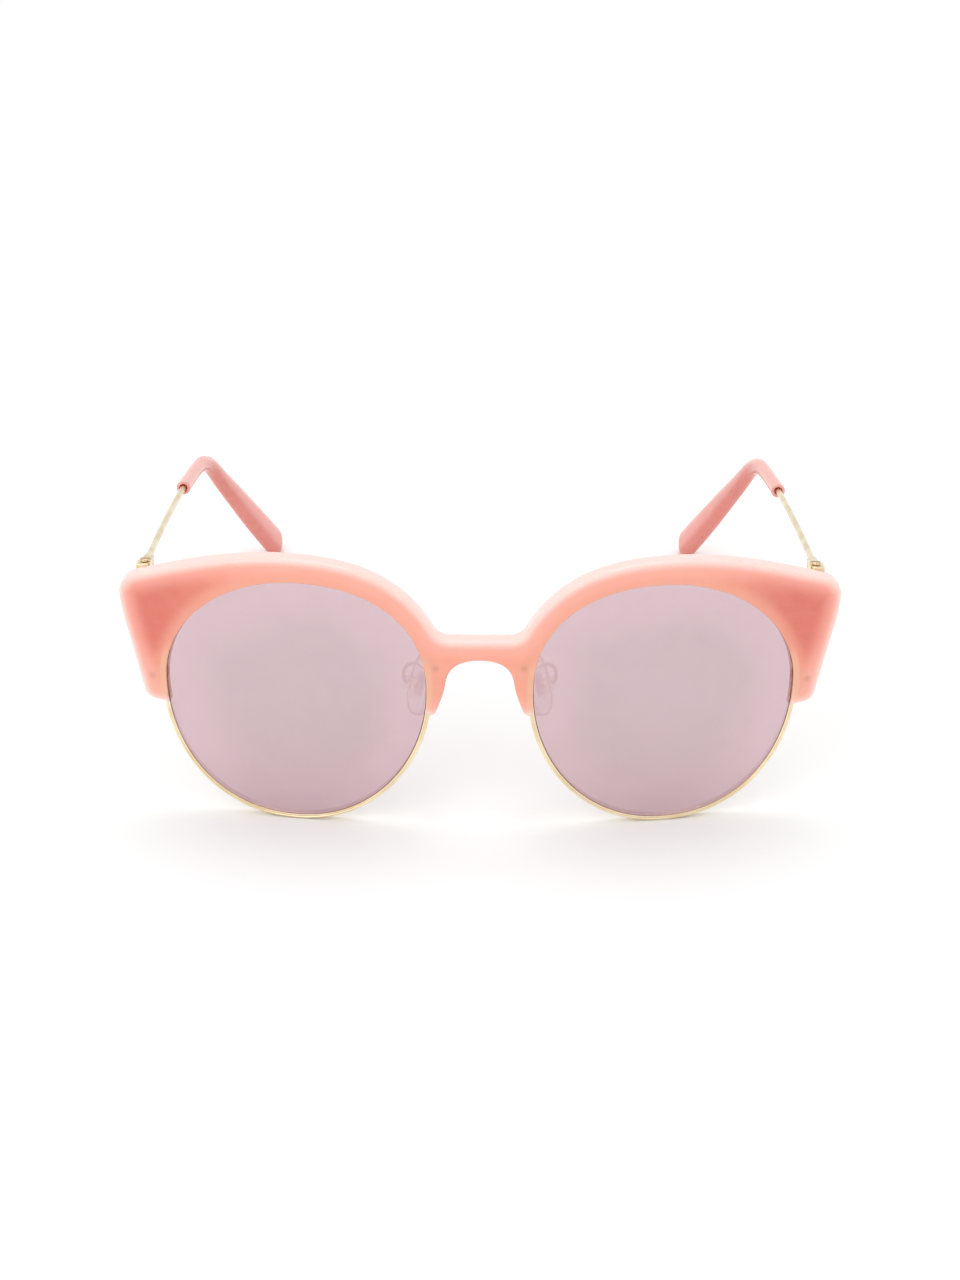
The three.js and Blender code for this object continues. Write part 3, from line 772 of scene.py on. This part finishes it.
def wire_section(grow=0.0):
    def section(s):
        turned_round = ease(s, FLAT_UNTIL, ROUND_FROM)
        radius = WIRE_RADIUS + grow
        return (radius, mix(FLAT_END_HALF, radius, turned_round),
                mix(BOXY, ROUND, turned_round))
    return section


def temple_arm():
    places = steps_between(2, 15, 30) + steps_between(15, TEMPLE_END - TIP_CORE_SHORT, 90)[1:]
    return eased(temple_bar(places, wire_section(), 28), 0.12, 2, math.radians(60))


LEAF_INSIDE, LEAF_OUTSIDE, LEAF_HALF, LEAF_END = -0.85, -0.1, 1.3, 7.5


def temple_leaf():
    half = MIDDLE_KNUCKLE / 2
    knuckle = eased(post(KNUCKLE_RADIUS, -half, half), KNUCKLE_ROUNDING)
    leaf = eased(box((LEAF_INSIDE, 1.9, -LEAF_HALF), (LEAF_OUTSIDE, LEAF_END, LEAF_HALF)), 0.15)
    neck = eased(box((LEAF_INSIDE, 0, -half), (LEAF_OUTSIDE, 2, half)), 0.08)
    whole = combined(knuckle, [neck, leaf], "UNION")
    return combined(whole, [post(PIN_BORE, -3, 3)], "DIFFERENCE")


TIP_ROUNDING = 3.4
SLEEVE_RADIUS, TIP_HALF_WIDTH, TIP_HALF_HEIGHT, TIP_SQUARENESS = 1.58, 2.1, 3.5, 3
SLEEVE_UNTIL, BAR_FROM = 84, 134
MOUTH_BEVEL, MOUTH_DEPTH, MOUTH_ROOM = 0.35, 0.7, 0.32


def tip_section(s):
    grown = ease(s, SLEEVE_UNTIL, BAR_FROM)
    into_end = max((s - TEMPLE_END + TIP_ROUNDING) / TIP_ROUNDING, 0)
    into_mouth = max((TIP_START + MOUTH_BEVEL - s) / MOUTH_BEVEL, 0)
    closing = math.sqrt(max(1 - into_end**2, 0.0025))
    mouth = MOUTH_BEVEL * (1 - math.sqrt(max(1 - into_mouth**2, 0)))
    return ((mix(SLEEVE_RADIUS, TIP_HALF_WIDTH, grown) - mouth) * closing,
            (mix(SLEEVE_RADIUS, TIP_HALF_HEIGHT, grown) - mouth) * closing,
            mix(ROUND, TIP_SQUARENESS, grown))


def temple_tip():
    """A round sleeve where the wire goes in, and a deeper, flatter bar behind the ear."""
    places = [TIP_START + MOUTH_BEVEL * (1 - math.cos(i * math.pi / 12)) for i in range(7)]
    places += [mix(places[6], TEMPLE_END - TIP_ROUNDING, i / 80) for i in range(1, 81)]
    places += [TEMPLE_END - TIP_ROUNDING * (1 - math.sin(i * math.pi / 24)) for i in range(1, 13)]
    body = temple_bar(places, tip_section, 40)
    core_end = TEMPLE_END - TIP_CORE_SHORT + 3 * ROOM
    core = temple_bar(steps_between(TIP_START - 6, core_end, 60), wire_section(ROOM), 20)
    mouth = steps_between(TIP_START - 3, TIP_START + MOUTH_DEPTH, 6)
    mouth_radius = WIRE_RADIUS + MOUTH_ROOM
    wide = temple_bar(mouth, lambda s: (mouth_radius, mouth_radius, ROUND), 28)
    tip = combined(body, [core, wide], "DIFFERENCE")
    tip.normal_update()
    # Records how far each face points up, for the tip finish's painted light and shade.
    record(tip, "upward", [vert.normal.z for vert in tip.verts])
    return tip


# ---- Finishes ----
def rgb(red, green, blue):
    """A colour given as 0 to 255 on screen, as linear light."""
    return tuple(((v / 255 + 0.055) / 1.055) ** 2.4 if v > 10 else v / 255 / 12.92
                 for v in (red, green, blue)) + (1,)


def feed(tree, node, values):
    """Links or sets a node's inputs, each by its name or number."""
    for key, value in values.items():
        if isinstance(value, bpy.types.NodeSocket):
            tree.links.new(value, node.inputs[key])
        else:
            node.inputs[key].default_value = value


def add_node(tree, kind, values=None, **settings):
    made = tree.nodes.new(kind)
    for key, value in settings.items():
        setattr(made, key, value)
    feed(tree, made, values or {})
    return made


def calculate(tree, operation, a, b=0.0, clamp=False):
    made = add_node(tree, "ShaderNodeMath", {0: a, 1: b}, operation=operation)
    made.use_clamp = clamp
    return made.outputs[0]


def times(tree, a, b, clamp=False):
    return calculate(tree, "MULTIPLY", a, b, clamp)


def recorded(tree, name):
    return add_node(tree, "ShaderNodeAttribute", attribute_name=name).outputs["Fac"]


def span(tree, value, low, high, to_low=0.0, to_high=1.0, smooth=True):
    """A value carried from one range to another and held at its ends."""
    made = add_node(tree, "ShaderNodeMapRange", {"Value": value, "From Min": low, "From Max": high,
                                                 "To Min": to_low, "To Max": to_high})
    made.interpolation_type = "SMOOTHSTEP" if smooth else "LINEAR"
    return made.outputs["Result"]


def blend_colours(tree, share, first, second):
    made = add_node(tree, "ShaderNodeMix", data_type="RGBA")
    feed(tree, made, {0: share, 6: first, 7: second})
    return made.outputs[2]


def noise(tree, place, scale, detail=2.0, roughness=0.5):
    made = add_node(tree, "ShaderNodeTexNoise", {"Vector": place, "Scale": scale, "Detail": detail,
                                                 "Roughness": roughness})
    return made.outputs["Fac"]


def new_group(name, inputs, outputs):
    """An effect that several finishes share: its tree, its input sockets and its output node."""
    group = bpy.data.node_groups.new(name, "ShaderNodeTree")
    sockets = group.interface
    sockets.new_socket("Place", in_out="INPUT", socket_type="NodeSocketVector")
    for label, value in inputs.items():
        kind = "NodeSocketVector" if isinstance(value, tuple) else "NodeSocketFloat"
        sockets.new_socket(label, in_out="INPUT", socket_type=kind).default_value = value
    for label in outputs:
        sockets.new_socket(label, in_out="OUTPUT", socket_type="NodeSocketFloat")
    return group, group.nodes.new("NodeGroupInput").outputs, group.nodes.new("NodeGroupOutput")


def place_group(tree, group, **values):
    made = add_node(tree, "ShaderNodeGroup")
    made.node_tree = group
    feed(tree, made, {key.capitalize(): value for key, value in values.items()})
    return made.outputs


def make_edge_wear():
    """Where handling has rubbed the proud edges: a broken mask along them."""
    group, given, out = new_group("edge wear", {"Amount": 0.5}, ["Mask"])
    pointed = add_node(group, "ShaderNodeNewGeometry").outputs["Pointiness"]
    proud = span(group, pointed, 0.51, 0.6)
    broken = span(group, noise(group, given["Place"], 1.7, 4, 0.6), 0.42, 0.62)
    mask = times(group, times(group, proud, broken), given["Amount"], True)
    group.links.new(mask, out.inputs["Mask"])
    return group


def make_fine_scratches():
    """Hairline scratches from cloths and cases, in two directions: a mask and a height."""
    group, given, out = new_group("fine scratches", {"Amount": 0.3}, ["Mask", "Height"])
    masks = []
    for turn, stretch in ((0.5, 0.05), (-0.9, 0.04)):
        turned_place = add_node(group, "ShaderNodeMapping", {"Vector": given["Place"],
                                "Rotation": (0.2, turn, turn), "Scale": (1, 1, stretch)}).outputs[0]
        lines = noise(group, turned_place, 5.5, 2, 0.7)
        masks.append(span(group, lines, 0.68, 0.74))
    both = calculate(group, "MAXIMUM", masks[0], masks[1])
    patches = span(group, noise(group, given["Place"], 0.12, 2), 0.45, 0.65)
    mask = times(group, times(group, both, patches), given["Amount"], True)
    group.links.new(mask, out.inputs["Mask"])
    group.links.new(calculate(group, "SUBTRACT", 0.5, mask), out.inputs["Height"])
    return group


def make_dust():
    """Sparse specks of dust with a faint film: a mask."""
    group, given, out = new_group("dust", {"Amount": 0.3}, ["Mask"])
    specks = add_node(group, "ShaderNodeTexVoronoi", {"Vector": given["Place"], "Scale": 0.9,
                                                      "Randomness": 1.0}).outputs["Distance"]
    spots = span(group, specks, 0.05, 0.09, 1, 0)
    chosen = span(group, noise(group, given["Place"], 0.4, 2), 0.55, 0.6)
    film = span(group, noise(group, given["Place"], 0.25, 4, 0.6), 0.35, 0.75, 0, 0.25)
    total = calculate(group, "ADD", times(group, spots, chosen), film)
    group.links.new(times(group, total, given["Amount"], True), out.inputs["Mask"])
    return group


def make_grain():
    """A directional grain: cloudy unevenness with fine lines drawn out along one way."""
    group, given, out = new_group(
        "drawn grain", {"Stretch": (1, 1, 1), "Scale": 3.0}, ["Lines", "Clouds"])
    drawn = add_node(group, "ShaderNodeVectorMath", {0: given["Place"], 1: given["Stretch"]},
                     operation="MULTIPLY").outputs[0]
    group.links.new(noise(group, drawn, given["Scale"], 4, 0.65), out.inputs["Lines"])
    group.links.new(noise(group, given["Place"], 0.18, 3), out.inputs["Clouds"])
    return group


EDGE_WEAR = make_edge_wear()
FINE_SCRATCHES = make_fine_scratches()
DUST = make_dust()
GRAIN = make_grain()


def new_finish(name, place):
    """A material with its shader, and Object coordinates in a frame's own millimetres."""
    finish = bpy.data.materials.new(name)
    finish.use_nodes = True
    tree = finish.node_tree
    tree.nodes.clear()
    out = add_node(tree, "ShaderNodeOutputMaterial")
    shader = add_node(tree, "ShaderNodeBsdfPrincipled")
    tree.links.new(shader.outputs[0], out.inputs["Surface"])
    into = place.inverted()
    spot, turn, size = into.decompose()
    where = add_node(tree, "ShaderNodeMapping", {
        "Vector": add_node(tree, "ShaderNodeTexCoord").outputs["Object"],
        "Location": spot, "Rotation": turn.to_euler(), "Scale": size}).outputs[0]
    return finish, tree, shader, where


def bump(tree, shader, height, strength, distance):
    made = add_node(tree, "ShaderNodeBump", {
        "Height": height, "Strength": strength, "Distance": distance})
    tree.links.new(made.outputs[0], shader.inputs["Normal"])


def coral_finish(name, place, is_brow):
    """Milky coral acetate. Its mass is deep coral, with painted pink light gathered at its edges,
    and painted light and shade on the tips by which way they face.
    """
    finish, tree, shader, where = new_finish(name, place)
    split = add_node(tree, "ShaderNodeSeparateXYZ", {"Vector": where}).outputs
    wear = place_group(tree, EDGE_WEAR, place=where, amount=0.25)["Mask"]
    scratches = place_group(tree, FINE_SCRATCHES, place=where, amount=0.12)
    dust = place_group(tree, DUST, place=where, amount=0.12)["Mask"]
    clouds = place_group(tree, GRAIN, place=where, stretch=(0.4, 1, 1), scale=0.5)
    milky = span(tree, clouds["Lines"], 0.3, 0.7)
    if is_brow:
        edge = recorded(tree, "from_edge")
        lens = recorded(tree, "from_lens")
        across = calculate(tree, "ABSOLUTE", split["X"])
        peach = blend_colours(tree, milky, rgb(241, 160, 136), rgb(243, 164, 140))
        deep = blend_colours(tree, milky, rgb(218, 114, 97), rgb(221, 119, 102))
        corner = times(tree, span(tree, across, 42, 66), span(tree, split["Z"], -13.5, -3))
        colour = blend_colours(tree, corner, peach, deep)
        near_lens = span(tree, lens, 3.6, 0.4)
        colour = blend_colours(
            tree, times(tree, near_lens, 0.7), colour, rgb(238, 166, 142))
        # Painted light: a pink glow, as of light gathered through the thin plastic along the outer
        # edges.
        painted_edge_glow = span(tree, edge, 5.2, 0.2)
        colour = blend_colours(
            tree, times(tree, painted_edge_glow, 0.85), colour, rgb(251, 180, 164))
        # Painted light: the gold rim behind the leg, painted as faint lighter lines seen through
        # the plastic.
        behind_leg = span(tree, split["Z"], -3, -8)
        rim_shows = times(tree, span(tree, lens, 1.5, 1.05), behind_leg)
        colour = blend_colours(
            tree, times(tree, rim_shows, 0.35), colour, rgb(240, 196, 160))
        # Painted shade: the eyelets and screws behind the legs, painted as faint darker spots seen
        # through the plastic.
        flat = add_node(tree, "ShaderNodeCombineXYZ", {"X": across, "Z": split["Z"]}).outputs[0]
        for x, z in RIM_SCREWS.values():
            away = add_node(tree, "ShaderNodeVectorMath", {0: flat, 1: (x, 0, z)},
                            operation="DISTANCE").outputs["Value"]
            shows = span(tree, away, 1.15, 0.2, 0, 0.3)
            colour = blend_colours(tree, shows, colour, rgb(186, 124, 100))
        wear = times(tree, wear, span(tree, edge, 1.5, 0.6))
        # Painted light: a pale, near-white band along the rounded outer edge, standing in for the
        # light on its bevel.
        lip = span(tree, edge, 1.9, 0.0)
        colour = blend_colours(tree, lip, colour, rgb(255, 212, 204))
    else:
        behind = span(tree, split["Y"], 92, 112)
        upward = recorded(tree, "upward")
        sleeve = blend_colours(tree, milky, rgb(238, 162, 152), rgb(241, 168, 158))
        # Painted shade and light: the bar's darker coral stands in for shade on faces that point
        # down, blended to a paler pink of painted light on faces that point up.
        hook = blend_colours(tree, milky, rgb(216, 126, 114), rgb(220, 132, 120))
        hook = blend_colours(tree, span(tree, upward, -0.15, 0.75), hook, rgb(243, 172, 163))
        colour = blend_colours(tree, behind, sleeve, hook)
    colour = blend_colours(tree, wear, colour, rgb(255, 225, 218))
    colour = blend_colours(tree, dust, colour, rgb(235, 225, 215))
    tree.links.new(colour, shader.inputs["Base Color"])
    rough = calculate(tree, "ADD", span(tree, clouds["Clouds"], 0.3, 0.7, 0.12, 0.2),
                      times(tree, scratches["Mask"], 0.3), True)
    tree.links.new(rough, shader.inputs["Roughness"])
    feed(tree, shader, {
        "Subsurface Weight": 0.35, "Subsurface Radius": (1.0, 0.42, 0.3),
        "Subsurface Scale": 0.003, "IOR": 1.5, "Coat Weight": 0.25, "Coat Roughness": 0.06})
    bump(tree, shader, scratches["Height"], 0.15, 0.00005)
    return finish


def gold_finish(name, place, light, shade, stretch, roughness):
    """Polished champagne gold plate, a little drawn, with painted shade darkening its hollows."""
    finish, tree, shader, where = new_finish(name, place)
    wear = place_group(tree, EDGE_WEAR, place=where, amount=0.5)["Mask"]
    scratches = place_group(tree, FINE_SCRATCHES, place=where, amount=0.5)
    dust = place_group(tree, DUST, place=where, amount=0.25)["Mask"]
    grain = place_group(tree, GRAIN, place=where, stretch=stretch, scale=4.0)
    uneven = span(tree, grain["Clouds"], 0.35, 0.65)
    colour = blend_colours(tree, uneven, light, shade)
    lines = span(tree, grain["Lines"], 0.35, 0.65, 0, 0.35)
    colour = blend_colours(tree, lines, colour, shade)
    # Painted shade: hollows darkened towards brown, where less light reaches.
    pointed = add_node(tree, "ShaderNodeNewGeometry").outputs["Pointiness"]
    painted_hollow_shade = span(tree, pointed, 0.49, 0.4, 0, 0.6)
    colour = blend_colours(tree, painted_hollow_shade, colour, rgb(140, 96, 60))
    colour = blend_colours(tree, wear, colour, rgb(255, 246, 226))
    colour = blend_colours(tree, dust, colour, rgb(225, 215, 200))
    tree.links.new(colour, shader.inputs["Base Color"])
    shader.inputs["Metallic"].default_value = 1.0
    drawn = span(tree, grain["Lines"], 0.3, 0.7, roughness, roughness + 0.12)
    rough = calculate(tree, "ADD", drawn, times(tree, scratches["Mask"], 0.25), True)
    rough = calculate(tree, "ADD", rough, times(tree, dust, 0.4), True)
    tree.links.new(rough, shader.inputs["Roughness"])
    bump(tree, shader, grain["Lines"], 0.12, 0.00003)
    return finish


def lens_finish(name, light, rim_tone, gap_shade_tone, metallic, alpha, roughness):
    """One side of the lens: its tone from middle to edge, and painted shade as a dark line at its
    bevel, in the gap by the rim.
    """
    finish, tree, shader, where = new_finish(name, FRONT)
    lens = recorded(tree, "from_lens")
    scratches = place_group(tree, FINE_SCRATCHES, place=where, amount=0.2)
    dust = place_group(tree, DUST, place=where, amount=0.35)["Mask"]
    coating = span(tree, noise(tree, where, 0.05, 2), 0.35, 0.65, -0.15, 0.15)
    depth = calculate(tree, "ADD", span(tree, lens, 14, 0.5), coating, True)
    colour = blend_colours(tree, depth, light, rim_tone)
    # Painted shade: a dark line at the bevel, in the gap between lens and rim, made opaque there.
    painted_gap_shade = span(tree, lens, 0.16, 0.06)
    colour = blend_colours(tree, painted_gap_shade, colour, gap_shade_tone)
    colour = blend_colours(tree, times(tree, dust, 0.5), colour, rgb(235, 228, 225))
    tree.links.new(colour, shader.inputs["Base Color"])
    feed(tree, shader, {"Metallic": metallic, "IOR": 1.5})
    rough = calculate(tree, "ADD", times(tree, scratches["Mask"], 0.15),
                      times(tree, dust, 0.35))
    rough = calculate(tree, "ADD", rough, roughness, True)
    tree.links.new(rough, shader.inputs["Roughness"])
    solid = calculate(tree, "MAXIMUM", painted_gap_shade, alpha)
    tree.links.new(solid, shader.inputs["Alpha"])
    return finish


def clear_finish(name, tone, transmission, roughness, ior):
    """Clear moulded plastic or silicone, with a faint flow pattern and handling marks."""
    finish, tree, shader, where = new_finish(name, FRONT)
    scratches = place_group(tree, FINE_SCRATCHES, place=where, amount=0.4)
    dust = place_group(tree, DUST, place=where, amount=0.5)["Mask"]
    flow = span(tree, noise(tree, where, 0.35, 3), 0.35, 0.65)
    colour = blend_colours(tree, flow, tone, rgb(255, 250, 246))
    colour = blend_colours(tree, dust, colour, rgb(225, 218, 212))
    tree.links.new(colour, shader.inputs["Base Color"])
    rough = calculate(tree, "ADD", times(tree, dust, 0.4),
                      span(tree, flow, 0, 1, roughness, roughness + 0.08), True)
    tree.links.new(rough, shader.inputs["Roughness"])
    feed(tree, shader, {"Transmission Weight": transmission, "IOR": ior})
    bump(tree, shader, scratches["Height"], 0.1, 0.00004)
    return finish


CORAL = coral_finish("milky coral acetate", FRONT, True)
TIP_CORAL = coral_finish("coral tip acetate", WORN, False)
RIM_GOLD = gold_finish("polished champagne gold", FRONT, rgb(250, 234, 198), rgb(236, 214, 174),
                       (1, 0.3, 1), 0.16)
WIRE_GOLD = gold_finish("drawn gold wire", WORN, rgb(244, 232, 204), rgb(224, 208, 172),
                        (1, 0.06, 1), 0.2)
SCREW_GOLD = gold_finish("turned screw gold", FRONT, rgb(232, 208, 168), rgb(200, 172, 130),
                         (1, 1, 1), 0.2)
LENS_MIRROR = lens_finish("rose mirror coating", rgb(199, 172, 178), rgb(212, 179, 188),
                          rgb(150, 100, 80), 1.0, 0.8, 0.03)
LENS_TINT = lens_finish("smoke rose lens", rgb(92, 74, 80), rgb(104, 84, 90),
                        rgb(140, 100, 84), 0.0, 0.3, 0.04)
SILICONE = clear_finish("clear soft silicone", rgb(250, 240, 236), 0.92, 0.14, 1.41)
INSERT = clear_finish("clear moulded insert", rgb(240, 228, 222), 0.7, 0.2, 1.58)


# ---- Finished pieces ----
BEHIND_MIDDLE = 0.2  # how far behind the lens's middle its tinted back starts


def lens_with_sides():
    """The lens with its coated face, and its tinted back as a second material."""
    bm = lens_solid()
    record(bm, "from_lens", distance_to(OPENING_OUTLINE, *across_and_up(bm)))
    middle = LENS_FRONT + LENS_THICKNESS / 2
    for face in bm.faces:
        centre = face.calc_center_median()
        face.material_index = int(centre.y - sag(centre.x) > middle + BEHIND_MIDDLE)
    return bm


show("brow_finished", brow(), FRONT, "front", "brow_plastic", "brow_front", CORAL)
show_pair("lens", lens_with_sides(), FRONT, "front", "lens_mirror", LENS_MIRROR, LENS_TINT)
show_pair("rim", rim(), FRONT, "front", "gold_metal", RIM_GOLD)
show_pair("pad_arm", pad_arm(), FRONT, "front", "gold_metal", RIM_GOLD)
show_pair("hinge_plate", hinge_plate(), FRONT, "front", "gold_metal", RIM_GOLD)
show_pair("hinge_screw", hinge_screw(), FRONT, "front", "gold_metal", SCREW_GOLD)
for stem, spots, length, behind in (
        ("rim_screw", RIM_SCREWS, RIM_SCREW_LENGTH, EYELET_DEPTH + EYELET_THICKNESS),
        ("plate_screw", PLATE_SCREWS, PLATE_SCREW_LENGTH, PLATE_FRONT + PLATE_THICKNESS)):
    for which, spot in spots.items():
        seated = seat(spot) @ Matrix.Translation((0, behind + HEAD_ROOM, 0))
        show_pair(f"{stem}_{which}", moved(screw(length), seated), FRONT, "front",
                  "gold_metal", SCREW_GOLD)
PAD = FRONT @ PAD_IN_FRONT
show_pair("pad_screw", pad_screw(), PAD, "front", "gold_metal", SCREW_GOLD)
show_pair("nose_pad", nose_pad(), PAD, "pad_{side}", "pad_silicone", SILICONE)
show_pair("pad_insert", pad_insert(), PAD, "pad_{side}", "pad_insert", INSERT)
show_pair("temple_arm", temple_arm(), TEMPLE, "temple_{side}", "gold_metal", WIRE_GOLD)
show_pair("temple_leaf", temple_leaf(), TEMPLE, "temple_{side}", "gold_metal", WIRE_GOLD)
show_pair("temple_tip", temple_tip(), TEMPLE, "temple_{side}", "tip_plastic", TIP_CORAL)


# ---- Studio ----
def floor():
    bm = bmesh.new()
    bmesh.ops.create_grid(bm, x_segments=2, y_segments=2, size=3)
    made = object_of(bm, "studio_floor")
    finish = bpy.data.materials.new("white paper")
    finish.use_nodes = True
    feed(finish.node_tree, finish.node_tree.nodes["Principled BSDF"], {
        "Base Color": (0.94, 0.94, 0.94, 1), "Roughness": 0.9, "Specular IOR Level": 0.1})
    made.data.materials.append(finish)


def soft_light(name, place, aim, size, watts):
    data = bpy.data.lights.new(name, "AREA")
    data.shape, data.size, data.energy = "SQUARE", size, watts
    made = bpy.data.objects.new(name, data)
    made.location = place
    made.rotation_euler = (Vector(aim) - Vector(place)).to_track_quat("-Z", "Y").to_euler()
    bpy.context.scene.collection.objects.link(made)


floor()
world = bpy.data.worlds.new("soft studio")
world.use_nodes = True
feed(world.node_tree, world.node_tree.nodes["Background"],
     {"Color": (1, 1, 1, 1), "Strength": 0.97})
bpy.context.scene.world = world
soft_light("overhead", (0, 0.25, 1.0), (0, 0, 0), 0.45, 1.7)
soft_light("front_left", (-0.5, -0.8, 0.7), (0, 0, 0.02), 0.7, 1.5)
bpy.context.scene.view_settings.view_transform = "Standard"

CAMERA_ELEVATION = 17.5  # above the temples, which lean back on the table
CAMERA_DISTANCE = 0.52
CAMERA_ROLL = 0.3
SENSOR_WIDTH, FOCAL_LENGTH = 36, 73.1
camera_data = bpy.data.cameras.new("camera")
camera_data.sensor_width, camera_data.lens = SENSOR_WIDTH, FOCAL_LENGTH
camera_data.clip_start, camera_data.clip_end = 0.01, 20
camera = bpy.data.objects.new("camera", camera_data)
level = WORN.to_3x3().normalized()
camera_height = math.radians(CAMERA_ELEVATION)
view_line = level @ Vector((0, math.cos(camera_height), -math.sin(camera_height)))
camera.location = WORN.translation - view_line * CAMERA_DISTANCE
camera.rotation_euler = (view_line.to_track_quat("-Z", "Y").to_matrix().to_4x4()
                         @ Matrix.Rotation(math.radians(CAMERA_ROLL), 4, "Z")).to_euler()
bpy.context.scene.collection.objects.link(camera)
bpy.context.scene.camera = camera
